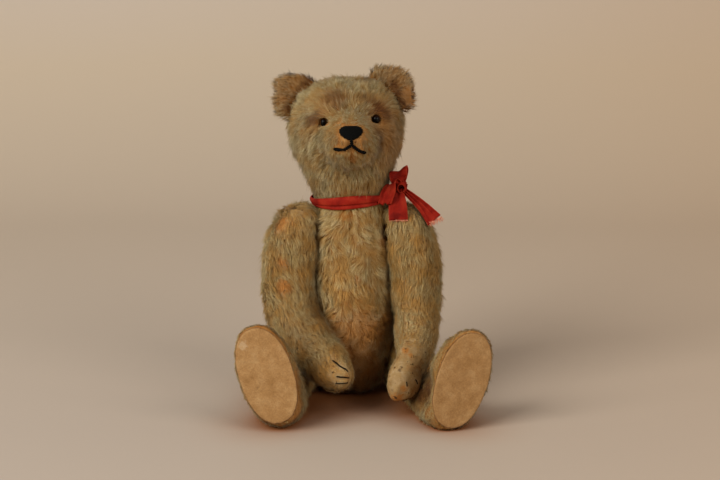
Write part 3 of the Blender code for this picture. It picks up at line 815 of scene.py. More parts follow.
@dataclass(frozen=True)
class Seam:
    """A sewn seam in the skin: a groove along the line where a plane cuts it.

    Attributes:
        point: a point of the plane, in mm.
        normal: the plane's normal.
        toward: only the skin on this side of the point is grooved.
        depth: how deep the groove is, in mm.
        width: its half width, in mm.
    """

    point: Place
    normal: Place
    toward: Place
    depth: float = 0.9
    width: float = 1.6

    def pull(self, points: Array) -> Array:
        """How far each point is drawn in, in mm."""
        normal = unit(np.array([self.normal], float))[0]
        from_point = points - np.array(self.point)
        ahead = from_point @ np.array(self.toward, float) > 0
        return self.depth * np.exp(-((np.abs(from_point @ normal) / self.width) ** 2)) * ahead


def mark(piece: Piece, spots: Sequence[Spot]) -> None:
    """Writes the attribute spot: stains and rubs on a piece.

    Args:
        piece: the piece.
        spots: the middle and the radius in mm of each, and its strength, below 0 for a rub.
    """
    points = points_of(piece.data)
    found = np.zeros(len(points))
    for centre, radius, level in spots:
        away = away_from(centre, points) / radius + 0.3 * ripple(points, 2.5, 8)
        found += level * (1 - eased(0.4, 1, away))
    note(piece.data, "spot", found)


@dataclass
class Part:
    """A piece that stands for a CAD node.

    Attributes:
        node: the CAD node.
        body: the body that it moves with.
    """

    node: str
    body: str


@dataclass
class MohairSkin(Part):
    """The sewn and stuffed cloth of one CAD node.

    Attributes:
        inset: how far under the CAD surface the backing lies, in mm, to leave room for pile.
        mesh_size: the spacing of its own mesh, in mm.
        seams: the seams that groove it.
        lumps: how far the stuffing stands uneven, in mm.
        backing: the finish of its cloth.
        worn: its worn places, where the cloth lies nearer to the CAD surface.
        spots: its stains and bared threads, as the function mark takes them.
        pushes: where its stuffing is pressed in or stands out.
    """

    inset: float = 0.9
    mesh_size: float = 1.5
    seams: Sequence[Seam] = ()
    lumps: float = 0.35
    backing: WovenBacking = BACKING
    worn: Sequence[WornPlace] = ()
    spots: Sequence[Spot] = ()
    pushes: Sequence[Push] = ()

    def build(self) -> Piece:
        """Builds the stuffed skin.

        Returns:
            The skin, riding on its body.
        """
        skin = copied(self.node, self.node + "_skin")
        whole = tree_of(skin)
        modify(skin, "REMESH", mode="VOXEL", voxel_size=self.mesh_size * MM)
        modify(skin, "SMOOTH", factor=0.5, iterations=4)
        self.settle(skin, whole)
        modify(skin, "SMOOTH", factor=0.5, iterations=1)
        mark(skin, self.spots)
        skin.data.shade_smooth()
        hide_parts(self.node)
        return finished(skin, self.backing, self.body)

    def settle(self, skin: Piece, whole: BVHTree) -> None:
        """Draws the skin in to leave room for the pile, sinks its seams and makes it uneven.

        Args:
            skin: the skin.
            whole: the CAD surface, from which it is drawn in.
        """
        points, normals = points_of(skin.data), normals_of(skin.data)
        points = np.array([whole.find_nearest(Vector(point))[0] for point in points * MM]) / MM
        drawn = np.full(len(points), self.inset)
        for place in self.worn:
            drawn *= 1 - 0.8 * place.strength(points)
        for seam in self.seams:
            drawn += seam.pull(points)
        drawn += self.lumps * ripple(points, 13, 3) + 0.3 * self.lumps * ripple(points, 5, 4)
        points -= normals * drawn[:, None]
        for push in self.pushes:
            points = push.moved(points)
        points[:, 2] = np.maximum(points[:, 2], 0.15)
        set_points(skin.data, points)


@dataclass
class Obstacles:
    """What the pile has to stay clear of: surfaces, and eyes with the space in front of them.

    Attributes:
        surfaces: trees of the pieces, in metres.
        boxes: their boxes, in mm, lowest and highest corner.
        eyes: the eyes' middles and radii, in mm, and how far the pile narrows the free space ahead of them.
        gap: how far a tuft stays from them, in mm.
    """

    surfaces: list[BVHTree] = field(default_factory=list)
    boxes: list[tuple[Array, Array]] = field(default_factory=list)
    eyes: list[tuple[Array, float, float]] = field(default_factory=list)
    gap: float = 0.7

    def add(self, piece: Piece) -> None:
        """Adds a piece's surface."""
        points = points_of(piece.data)
        self.surfaces.append(tree_of(piece))
        self.boxes.append((points.min(axis=0) - 1.5, points.max(axis=0) + 1.5))

    def add_eye(self, glass: Piece, narrowed: float) -> None:
        """Adds an eye and the space ahead of it.

        Args:
            glass: the eye.
            narrowed: how many times the pile on either side closes the space in.
        """
        points = points_of(glass.data)
        low, high = points.min(axis=0), points.max(axis=0)
        self.eyes.append(((low + high) / 2, (high[2] - low[2]) / 2, narrowed))

    def hit(self, points: Array) -> Array:
        """Whether each point, in mm, is too near to one of the pieces."""
        found = np.zeros(len(points), bool)
        for centre, radius, narrowed in self.eyes:
            away = points - centre
            inside = np.linalg.norm(away, axis=1) < radius * 1.04
            # The free space ahead of an eye tips down a little, as the face does.
            aside = np.hypot(away[:, 0] * narrowed, (away[:, 2] + 0.3 + 0.25 * away[:, 1]) * 0.9)
            found |= inside | ((aside < radius * 0.98) & (away[:, 1] < 0))
        for surface, (low, high) in zip(self.surfaces, self.boxes):
            inside = np.flatnonzero(((points > low) & (points < high)).all(axis=1) & ~found)
            for i in inside:
                place = Vector(points[i] * MM)
                near, normal, _, away = surface.find_nearest(place)
                if near is not None and (away < self.gap * MM or (place - near).dot(normal) < 0):
                    found[i] = True
        return found


class Coat:
    """How pile lies on a part. Each part that carries pile is a coat."""

    worn: Sequence[WornPlace] = ()

    def comb(self, points: Array) -> Array:
        """The direction in which the pile is combed at each point."""
        raise NotImplementedError

    def short(self, points: Array) -> Array:
        """The share of its full length that the pile has at each point."""
        return np.ones(len(points))

    def bare(self, points: Array) -> Array:
        """1 for each point where no pile grows."""
        return np.zeros(len(points))


@dataclass
class MohairPile:
    """The pile of one skin: tufts that lean along the comb, gathered in locks.

    One tuft stands for about ten fibres, because a fibre, 0.04 mm thick, is too fine to show.
    It is a closed three-sided spindle with one bend.

    Attributes:
        name: the piece's name; numbered where the pile takes several pieces.
        body: the body that it moves with.
        finish: the fibre.
        density: tufts on a square millimetre.
        length: a full tuft's length, in mm.
        width: its thickness at the bend, in mm.
        rise: its angle from the skin at the root and beyond the bend, in degrees.
        swirl: how far the comb wanders, in degrees.
        lock: how many tufts a lock has.
        seed: which pile.
        toned: its places of painted shade and painted light, and of real grime and paler fibre.

    Of the constants, ROUNDNESS is how far a tuft takes the light by its own shape, STRAYS is the
    share of tufts that stand out by STRAY_LIFT degrees, BEND is how far along a tuft its bend is,
    SAG is how far it hangs, and PULL is how far at most it leans to its lock's tip.
    """

    name: str
    body: str
    finish: MohairFibre = BODY_PILE
    density: float = 2.9
    length: float = 8.4
    width: float = 0.24
    rise: tuple[float, float] = (42, 5)
    swirl: float = 22.0
    lock: int = 7
    seed: int = 1
    toned: Sequence[Tone] = ()

    MOST_TUFTS = 33_000
    ROUNDNESS = 0.4
    STRAYS = 0.07
    STRAY_LIFT = 16
    BEND = 0.42
    SAG = 0.06
    PULL = 0.6

    def grow(self, skin: Piece, coat: Coat, bare: Field, obstacles: Obstacles) -> list[Piece]:
        """Grows the pile on a skin.

        Args:
            skin: what it grows on.
            coat: how it lies, and where it is worn.
            bare: 1 for each point where no pile grows.
            obstacles: what it stays clear of.

        Returns:
            Its pieces, each under the size limit of a piece. Its pieces, none with more
            than MOST_TUFTS tufts.
        """
        rng = np.random.default_rng(self.seed)
        roots, normals = self.scatter(skin, coat.worn, bare, rng)
        wear = np.zeros(len(roots))
        for place in coat.worn:
            wear = np.maximum(wear, place.strength(roots) * place.dye)
        lengths = self.length * coat.short(roots) * rng.uniform(0.7, 1.15, len(roots))
        lengths *= 1 + 0.18 * ripple(roots, 9, self.seed + 7)
        ahead = roots + unit(coat.comb(roots)) * (0.6 * lengths[:, None])
        for place in coat.worn:
            lengths *= 1 - (1 - place.length) * np.maximum(place.strength(roots), place.strength(ahead))
        locks, leaders = self.gather(roots, rng)
        bends, tips, sides = self.lean(roots, normals, coat.comb, lengths, locks, leaders, rng)
        kept = ~(obstacles.hit(bends) | obstacles.hit(tips) | obstacles.hit((roots + bends) / 2))
        for share in (0.25, 0.5, 0.75):
            kept &= ~obstacles.hit(bends + (tips - bends) * share)
        chances = rng.random(len(roots)), rng.random(len(leaders))[locks]
        mixes = np.column_stack([*chances, wear, tone_of(roots, self.toned)])
        order = np.flatnonzero(kept)
        order = order[np.argsort(roots[order, 1], kind="stable")]
        parts = max(1, math.ceil(len(order) / self.MOST_TUFTS))
        pieces = []
        for number, some in enumerate(np.array_split(order, parts), start=1):
            name = self.name if parts == 1 else f"{self.name}_{number}"
            piece = self.tufts(name, *(rows[some] for rows in (roots, bends, tips, sides, normals, mixes)))
            pieces.append(finished(piece, self.finish, self.body))
        LOG.info("%s: %d tufts", self.name, len(order))
        return pieces

    def scatter(
        self, skin: Piece, worn: Sequence[WornPlace], bare: Field, rng: np.random.Generator
    ) -> tuple[Array, Array]:
        """Chooses the tufts' roots on the skin.

        Args:
            skin: the skin.
            worn: the worn places, which keep only a share of the tufts.
            bare: 1 for each point where no pile grows.
            rng: the source of chance.

        Returns:
            The roots in mm and the skin's normals there.
        """
        mesh = skin.data
        mesh.calc_loop_triangles()
        corners = np.empty(len(mesh.loop_triangles) * 3, np.int32)
        mesh.loop_triangles.foreach_get("vertices", corners)
        corners = corners.reshape(-1, 3)
        points, normals = points_of(mesh), normals_of(mesh)
        a, b, c = (points[corners[:, k]] for k in range(3))
        areas = np.linalg.norm(np.cross(b - a, c - a), axis=1) / 2
        count = int(areas.sum() * self.density)
        chosen = rng.choice(len(areas), count, p=areas / areas.sum())
        shares = rng.random((count, 2))
        shares[shares.sum(axis=1) > 1] = 1 - shares[shares.sum(axis=1) > 1]
        weights = np.column_stack([1 - shares.sum(axis=1), shares])[:, :, None]
        roots = (points[corners[chosen]] * weights).sum(axis=1)
        leads = unit((normals[corners[chosen]] * weights).sum(axis=1))
        left = np.ones(count)
        for place in worn:
            left *= 1 - (1 - place.cover) * place.strength(roots)
        kept = (rng.random(count) < left) & (bare(roots) < 0.5)
        return roots[kept], leads[kept]

    def gather(self, roots: Array, rng: np.random.Generator) -> tuple[Array, Array]:
        """Gathers the tufts in locks.

        Args:
            roots: the tufts' roots.
            rng: the source of chance.

        Returns:
            The lock of each tuft, and the tuft that leads each lock.
        """
        leaders = np.sort(rng.choice(len(roots), max(1, len(roots) // self.lock), replace=False))
        near = KDTree(len(leaders))
        for i, leader in enumerate(leaders):
            near.insert(roots[leader], i)
        near.balance()
        return np.array([near.find(root)[1] for root in roots]), leaders

    def lean(
        self,
        roots: Array,
        normals: Array,
        comb: Field,
        lengths: Array,
        locks: Array,
        leaders: Array,
        rng: np.random.Generator,
    ) -> tuple[Array, Array, Array]:
        """Bends the tufts along the comb and towards their lock's tip.

        Args:
            roots: the roots, in mm.
            normals: the skin's normals there.
            comb: the combing direction at each point.
            lengths: the tufts' lengths, in mm.
            locks: each tuft's lock.
            leaders: the leading tuft of each lock.
            rng: the source of chance.

        Returns:
            The bends, the tips and a direction across each tuft.
        """
        flat = comb(roots)
        flat = unit(flat - normals * (flat * normals).sum(axis=1, keepdims=True))
        across = np.cross(normals, flat)
        turn = self.swirl * (ripple(roots, 26, self.seed + 1) + 0.6 * ripple(roots, 9, self.seed + 2))
        turn += (rng.normal(size=len(leaders)) * 8)[locks] + rng.normal(size=len(roots)) * 8
        turn = np.radians(turn)[:, None]
        flat = flat * np.cos(turn) + across * np.sin(turn)
        lift = (rng.normal(size=len(leaders)) * 5)[locks] + rng.normal(size=len(roots)) * 7
        stray = rng.random(len(roots)) < self.STRAYS
        lift = lift + self.STRAY_LIFT * stray
        lengths = lengths * (1 + 0.25 * stray)
        steep = np.radians(np.clip(self.rise[0] + lift, 8, 85))[:, None]
        low = np.radians(np.clip(self.rise[1] + lift, -4, 60))[:, None]
        bends = roots + (normals * np.sin(steep) + flat * np.cos(steep)) * lengths[:, None] * self.BEND
        tips = bends + (normals * np.sin(low) + flat * np.cos(low)) * lengths[:, None] * (1 - self.BEND)
        tips[:, 2] -= self.SAG * lengths
        pull = rng.uniform(0, self.PULL, len(roots))[:, None]
        shift = roots - roots[leaders][locks]
        tips += (tips[leaders][locks] + 0.35 * shift - tips) * pull
        bends += (bends[leaders][locks] + 0.65 * shift - bends) * pull * 0.7
        for ends in (bends, tips):
            ends[:, 2] = np.maximum(ends[:, 2], 0.2)
        sides = unit(np.cross(unit(tips - roots), normals + 0.05))
        return bends, tips, sides

    def tufts(
        self, name: str, roots: Array, bends: Array, tips: Array, sides: Array, normals: Array, mixes: Array
    ) -> Piece:
        """Makes one mesh of tufts, with its own map and attributes.

        Args:
            name: the piece's name.
            roots: where the tufts start.
            bends: where they bend.
            tips: where they end.
            sides: a direction across each tuft.
            normals: the skin's normals at the roots.
            mixes: for each tuft two random numbers, its wear and its tone.

        Returns:
            The new object.
        """
        count = len(roots)
        forward = unit(tips - roots)
        second = np.cross(forward, sides)
        angles = np.array([math.pi / 2 + 2 * math.pi * k / 3 for k in range(3)])
        points = np.empty((count, 5, 3))
        points[:, 0], points[:, 4] = roots, tips
        for k, angle in enumerate(angles, start=1):
            points[:, k] = bends + (sides * math.cos(angle) + second * math.sin(angle)) * self.width / 2
        pattern = np.array([[0, 2, 1], [0, 3, 2], [0, 1, 3], [1, 2, 4], [2, 3, 4], [3, 1, 4]])
        faces = (np.arange(count)[:, None, None] * 5 + pattern).reshape(-1, 3)
        mesh = bpy.data.meshes.new(name)
        mesh.vertices.add(count * 5)
        mesh.vertices.foreach_set("co", (points * MM).astype(np.float32).ravel())
        mesh.loops.add(len(faces) * 3)
        mesh.loops.foreach_set("vertex_index", faces.astype(np.int32).ravel())
        mesh.polygons.add(len(faces))
        mesh.polygons.foreach_set("loop_start", np.arange(0, len(faces) * 3, 3, dtype=np.int32))
        mesh.update(calc_edges=True)
        mesh.shade_smooth()
        # A tuft of fine fibres takes the light as the surface under it does, and a little as its own
        # roundness.
        own = unit((points - bends[:, None]).reshape(-1, 3))
        soft = unit(np.repeat(normals, 5, axis=0) + self.ROUNDNESS * own)
        mesh.normals_split_custom_set_from_vertices(soft.astype(np.float32))
        lie = np.empty((count, 5, 3), np.float32)
        lie[:, :, 0], lie[:, :, 1:] = (0, self.BEND, self.BEND, self.BEND, 1), mixes[:, None, :2]
        mesh.attributes.new("lie", "FLOAT_VECTOR", "POINT").data.foreach_set("vector", lie.ravel())
        note(mesh, "wear", np.repeat(mixes[:, 2], 5))
        note(mesh, "tone", np.repeat(mixes[:, 3], 5))
        self.map_tufts(mesh, count, faces)
        return linked(name, mesh)

    def map_tufts(self, mesh: bpy.types.Mesh, count: int, faces: Array) -> None:
        """Gives each tuft a small cell of its own map, OFBake.

        Args:
            mesh: the tufts.
            count: how many they are.
            faces: the vertex numbers of each face.
        """
        columns = math.ceil(math.sqrt(count))
        cell = np.column_stack([np.arange(count) % columns, np.arange(count) // columns]) / columns
        spots = np.array([[0.5, 0.12], [0.12, 0.45], [0.5, 0.5], [0.88, 0.45], [0.5, 0.88]])
        places = cell[:, None, :] + spots[None] / columns
        flat = places.reshape(-1, 2)[faces.ravel()]
        mesh.uv_layers.new(name="OFBake").data.foreach_set("uv", flat.astype(np.float32).ravel())


# ------------------------------------------------------------------------------------ the bear


@dataclass
class Joints:
    """The five disc joints: hidden hardware, and the skin round it that carries no pile."""

    names: tuple[str, ...] = ("neck", "shoulder_left", "shoulder_right", "hip_left", "hip_right")
    margin: float = 1.0

    def dress(self) -> None:
        """Gives the board discs, the washers, the cotter pins and the eye shanks their finishes."""
        boards, wires = ("body_disc", "limb_disc"), ("body_washer", "limb_washer", "cotter_pin")
        for name in self.names:
            for finish, parts in ((BOARD, boards), (WIRE, wires)):
                for part in parts:
                    finish.on(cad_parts[f"{name}_{part}"])
        for side in Side:
            WIRE.on(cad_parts["eye_shank_" + side.word])

    def bare(self, points: Array) -> Array:
        """1 for each point so near to a joint that pile can't grow there."""
        found = np.zeros(len(points))
        for name in self.names:
            corners = [np.array(c) / MM for part in ("body", "limb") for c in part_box(f"{name}_{part}_disc")]
            low, high = np.min(corners, axis=0), np.max(corners, axis=0)
            radius = (high - low).max() / 2 + self.margin
            found[np.linalg.norm(points - (low + high) / 2, axis=1) < radius] = 1
        return found


@dataclass
class GlassEye:
    """One glass eye, set deep in the fur.

    Attributes:
        side: which eye.
        shown: the width of the glass as a share of its height; the pile squeezes it.
        sunk: how much deeper than the CAD ball it sits, in mm.
    """

    side: Side
    shown: float = 1.0
    sunk: float = 0.0

    def build(self) -> Piece:
        """Models the eye: a ball with a flattened front over its pupil.

        Returns:
            The glass, on the head.
        """
        low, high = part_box("eye_" + self.side.word)
        centre, radius = (low + high) / 2, (high.x - low.x) / 2
        only()
        bpy.ops.mesh.primitive_uv_sphere_add(segments=40, ring_count=24, radius=radius, location=centre)
        glass = bpy.context.object
        glass.name = glass.data.name = "glass_eye_" + self.side.word
        bpy.ops.object.mode_set(mode="EDIT")
        bpy.ops.transform.rotate(value=math.pi / 2, orient_axis="X", center_override=centre)
        bpy.ops.transform.resize(value=(self.shown, 0.94, 1), center_override=centre)
        bpy.ops.transform.translate(value=(0, self.sunk * MM, 0))
        bpy.ops.object.mode_set(mode="OBJECT")
        bpy.ops.object.transform_apply(location=True, rotation=True, scale=True)
        glass.data.shade_smooth()
        points = points_of(glass.data) - np.array(centre) / MM
        ring = np.where(points[:, 1] < 0, np.hypot(points[:, 0], points[:, 2]), 4)
        note(glass.data, "ring", ring)
        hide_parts("eye_" + self.side.word)
        return finished(glass, GLASS, "head")


@dataclass
class Stitch(Part):
    """One straight or bent stitch of two-ply thread.

    Attributes:
        radius: half the thread's thickness, in mm.
        longer: how much further than the CAD solid it runs at its low and its high end along X, in mm.
        pushes: where the limb's stuffing is pressed in or stands out, which moves the stitch with it.
        pitch: the length of one turn of its plies, in mm.
    """

    radius: float = 0.48
    longer: tuple[float, float] = (0, 0)
    pushes: tuple[Push, ...] = ()
    pitch: float = 1.7

    def centreline(self) -> Array:
        """The thread's middle, from the CAD node: rings of vertices averaged along its length.

        Returns:
            Points along the stitch, in mm.
        """
        _, points = shape_of(self.node)
        centred = points - points.mean(axis=0)
        along = centred @ np.linalg.svd(centred, full_matrices=False)[2][0]
        edges = np.linspace(along.min(), along.max(), 8 if np.ptp(along) > 5 else 4)
        bins = np.clip(np.searchsorted(edges, along, side="right") - 1, 0, len(edges) - 2)
        rows = [points[bins == k].mean(axis=0) for k in range(len(edges) - 1) if (bins == k).any()]
        first, last = points[np.argmin(along)], points[np.argmax(along)]
        return np.array([first, *rows[1:-1], last])

    def build(self) -> Piece:
        """Twists the two plies along the stitch.

        Returns:
            The stitch, on its body.
        """
        line = self.centreline()
        line = line[:: 1 if line[0, 0] < line[-1, 0] else -1]
        low, high = unit(line[:1] - line[1:2]), unit(line[-1:] - line[-2:-1])
        line = np.vstack([line[:1] + low * self.longer[0], line[1:-1], line[-1:] + high * self.longer[1]])
        path = smooth_line(line, max(10, int(gone_along(line)[-1] / 0.28)))
        skin, _ = shape_of(self.body)
        for i, place in enumerate(path):
            near, normal, _, _ = skin.find_nearest(Vector(place * MM))
            path[i] = np.array(near + normal * 0.5 * self.radius * MM) / MM
        for push in self.pushes:
            path = push.moved(path)
        plies = [plied(self.node, path, self.radius, self.pitch, turn) for turn in (0, math.pi)]
        made = joined(self.node + "_thread", plies)
        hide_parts(self.node)
        return finished(made, THREAD, self.body)


def plied(name: str, path: Array, radius: float, pitch: float, turn: float, sides: int = 7) -> Piece:
    """One ply of a twisted thread, or a plain thread where the pitch is 0.

    Args:
        name: the object's name.
        path: the thread's middle, in mm.
        radius: half the whole thread's thickness, in mm.
        pitch: the length of one turn, in mm.
        turn: where round the thread the ply starts, in radians.
        sides: how many sides its section has.

    Returns:
        The ply as a closed tube.
    """
    forward = unit(np.gradient(path, axis=0))
    first = unit(np.cross(forward, [0.13, 0.27, 0.95]))
    second = np.cross(forward, first)
    gone = gone_along(path)
    thick = radius * (0.62 if pitch else 1)
    ends = np.sqrt(np.clip(np.minimum(gone, gone[-1] - gone) / radius, 0.04, 1))
    centre = path
    if pitch:
        angle = (turn + 2 * math.pi * gone / pitch)[:, None]
        centre = path + (first * np.cos(angle) + second * np.sin(angle)) * (radius - thick) * 1.15
    around = np.linspace(0, 2 * math.pi, sides, endpoint=False)
    reach = (thick * ends)[:, None]
    rings = [centre + (first * math.cos(a) + second * math.sin(a)) * reach for a in around]
    points = np.stack(rings, axis=1).reshape(-1, 3) * MM
    rows = len(path)
    faces = [
        (i * sides + j, i * sides + (j + 1) % sides, (i + 1) * sides + (j + 1) % sides, (i + 1) * sides + j)
        for i in range(rows - 1)
        for j in range(sides)
    ]
    faces += [tuple(range(sides))[::-1], tuple(range((rows - 1) * sides, rows * sides))]
    return meshed(name, points, faces)


@dataclass
class Muzzle:
    """The stitched nose and mouth: satin stitches across a shield, and one thick thread below it.

    Attributes:
        middle: the nose's middle across the face, in mm.
        top: the height of its upper edge, in mm.
        outline: the nose's half width at each depth below its upper edge, in mm.
        rows: how many stitches it takes.
        swell: how far it stands out in its middle, in mm.
        mouth: the thread's places across and up, in mm: the left half, the stem and the right half.
        thick: half the mouth thread's thickness, in mm.
    """

    middle: float = 0.6
    top: float = 194.0
    outline: tuple[tuple[float, float], ...] = (
        (0, 5), (0.5, 6.2), (1.2, 7.1), (2.4, 7.8), (3.6, 7.8), (4.8, 7.2), (6, 6), (7, 4.4), (7.8, 2.4)
    )
    rows: int = 14
    swell: float = 1.5
    mouth: tuple[tuple[tuple[float, float], ...], ...] = (
        ((-10.4, 179.3), (-8.4, 179.1), (-4.6, 179.5), (-1.4, 181), (0.9, 182.8)),
        ((0.7, 188), (0.8, 185), (1, 181.9)),
        ((1.2, 182.4), (3.4, 180.4), (6.6, 178.2), (9.7, 176.8)),
    )
    thick: float = 1.3

    def laid(self, skin: BVHTree, x: float, z: float, lift: float) -> Array:
        """A point of the face at this place, lifted off it, in mm."""
        hit, normal, _, _ = skin.ray_cast(Vector((x, -100, z)) * MM, Vector((0, 1, 0)))
        return np.array(hit + normal * lift * MM) / MM

    def build(self) -> list[Piece]:
        """Lays the stitches on the face.

        Returns:
            The nose and the mouth, on the head.
        """
        skin, _ = shape_of("head")
        depths, halves = zip(*self.outline)
        pitch = depths[-1] / self.rows
        stitches = []
        for row in range(self.rows):
            depth = pitch * (row + 0.5)
            half = float(np.interp(depth, depths, halves)) + 0.25 * math.sin(row * 2.3)
            path = []
            for share in np.linspace(-1, 1, 19):
                out = self.swell * max(1 - share**2 * 0.75 - (2 * depth / depths[-1] - 1) ** 2 * 0.3, 0.15)
                bow = 0.35 * share**2 * (0.4 - depth / depths[-1])
                path.append(self.laid(skin, self.middle + share * half, self.top - depth + bow, out))
            stitches.append(plied(f"row_{row}", np.array(path), pitch * 0.8, 0, 0, 8))
        for depth in np.linspace(0.35, depths[-1] - 0.5, 8):
            half = float(np.interp(depth, depths, halves)) - 0.5
            across = np.linspace(self.middle - half, self.middle + half, 9)
            path = [self.laid(skin, x, self.top - depth, 0.1) for x in across]
            stitches.append(plied("padding", np.array(path), 1, 0, 0, 8))
        nose = joined("nose_stitches", stitches)
        threads = []
        for line in self.mouth:
            path = np.array([self.laid(skin, x, z, 0.55) for x, z in smooth_line(line, 22)])
            threads += [plied("ply", path, self.thick, 2.6, turn) for turn in (0, math.pi)]
        mouth = joined("mouth_thread", threads)
        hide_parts("nose")
        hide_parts("mouth_stem", "mouth_corners")
        return [finished(piece, THREAD, "head") for piece in (nose, mouth)]


@dataclass
class FeltPad(Part):
    """A felt pad on a foot or a paw.

    Attributes:
        spots: its stains and rubs, as the function mark takes them.
        finish: its felt.
        dents: how far its surface stands uneven, in mm.
        mesh_size: the spacing of its own mesh, in mm.
        pushes: where the limb under it is pressed in or stands out.
    """

    spots: Sequence[Spot] = ()
    finish: WoolFelt = FELT
    dents: float = 0.25
    mesh_size: float = 0.6
    pushes: tuple[Push, ...] = ()

    def build(self) -> Piece:
        """Shapes the pad from the CAD pad, with soft edges and a worn, uneven face.

        Returns:
            The pad, on its body.
        """
        pad = copied(self.node, self.node + "_felt")
        modify(pad, "REMESH", mode="VOXEL", voxel_size=self.mesh_size * MM)
        modify(pad, "SMOOTH", factor=0.5, iterations=3)
        points, normals = points_of(pad.data), normals_of(pad.data)
        uneven = self.dents * ripple(points, 10, 21) + 0.25 * self.dents * ripple(points, 3.5, 22)
        points += normals * uneven[:, None] * 0.5
        for push in self.pushes:
            points = push.moved(points)
        points[:, 2] = np.maximum(points[:, 2], 0.1)
        set_points(pad.data, points)
        pad.data.shade_smooth()
        normals = normals_of(pad.data)
        across = np.linalg.svd(points - points.mean(axis=0), full_matrices=False)[2][2]
        rim = 1 - eased(0.5, 0.9, np.abs(normals @ across))
        note(pad.data, "rim", rim)
        mark(pad, self.spots)
        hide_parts(self.node)
        return finished(pad, self.finish, self.body)


@dataclass(kw_only=True)
class StuffedPart(Coat):
    """A stuffed part of the bear: a skin, and the pile that grows on it.

    Attributes:
        side: which one it is, of the parts that come in pairs.
        worn: its worn places.
        toned: its places of painted shade and painted light, and of real grime and paler fibre.
        pushes: where its stuffing is pressed in or stands out.
    """

    side: Side = Side.LEFT
    worn: Sequence[WornPlace] = ()
    toned: Sequence[Tone] = ()
    pushes: Sequence[Push] = ()

    def skin(self) -> MohairSkin:
        """Its cloth."""
        raise NotImplementedError

    def pile(self) -> MohairPile:
        """Its pile."""
        raise NotImplementedError

    def build(self, joints: Joints, obstacles: Obstacles) -> None:
        """Builds the skin and its pile.

        Args:
            joints: the joints, whose discs lie inside.
            obstacles: what the pile stays clear of.
        """
        self.pile().grow(self.skin().build(), self, joints.bare, obstacles)


@dataclass(kw_only=True)
class Torso(StuffedPart):
    """The body of the bear, with a seam down its front and its back."""

    seams: tuple[Seam, ...] = (
        Seam((0.6, 0, 70), (1, 0, 0), (0, -1, 0)),
        Seam((0, 0, 70), (1, 0, 0), (0, 1, 0)),
    )
    worn: tuple[WornPlace, ...] = (
        WornPlace((0.5, -26, 124), (1, -31, 98), 1.3, 0.25, 0.7),
        WornPlace((1, -33, 84), (1, -35, 50), 1.6, 0.3, 0.7),
        round_place((-1, -25.1, 131.1), 3.2, 0.1, 0.35),
        round_place((4.4, -31.6, 88), 3.5, 0.5, 0.5),
        round_place((20, -20, 112), 6, 0.7, 0.7, 0.5),
        WornPlace((3, -34, 50), (8, -33, 18), 24, 1, 0.85, 0.5),
    )
    toned: tuple[Tone, ...] = (
        Tone((0, -34, 92), 34, 1.04),
        # Paler patches on the chest: pale wisps of fibre, with a painted highlight on them.
        Tone((-9, -34, 84), 12, 1.22),
        Tone((3, -32, 106), 8, 1.15),
        Tone((-12, -34, 62), 9, 1.15),
        # Painted shade: darker low on the belly between the legs, and on both sides where the arms lie close.
        Tone((10, -32, 14), 34, 0.5),
        Tone((28, -18, 55), 24, 0.5),
        Tone((28, -14, 90), 16, 0.65),
        Tone((-28, -16, 60), 20, 0.65),
        Tone((-28, -14, 90), 16, 0.6),
    )

    def comb(self, points: Array) -> Array:
        """Down, away from the front seam, and ruffled over the belly."""
        ruffled = 1.6 * eased(74, 48, points[:, 2])
        ways = np.zeros_like(points)
        ways[:, 2] = 0.7 * ruffled * ripple(points, 8, 73) - 1
        ways[:, 0] = 0.3 * np.tanh(points[:, 0] / 6) + ruffled * ripple(points, 9, 71)
        ways[:, 1] = -0.25 * eased(60, 20, points[:, 2])
        return ways

    def short(self, points: Array) -> Array:
        """Full length over the body, shorter under it and at the neck."""
        return (0.55 + 0.45 * eased(2, 14, points[:, 2])) * (1 - 0.45 * eased(128, 140, points[:, 2]))

    def skin(self) -> MohairSkin:
        """Firm cloth, grooved by the seams."""
        return MohairSkin("torso", "torso", seams=self.seams)

    def pile(self) -> MohairPile:
        """Long pile in thick, wandering locks."""
        look = {"density": 2.6, "length": 8.2, "swirl": 44, "lock": 10, "seed": 11}
        return MohairPile("torso_pile", "torso", toned=self.toned, **look)


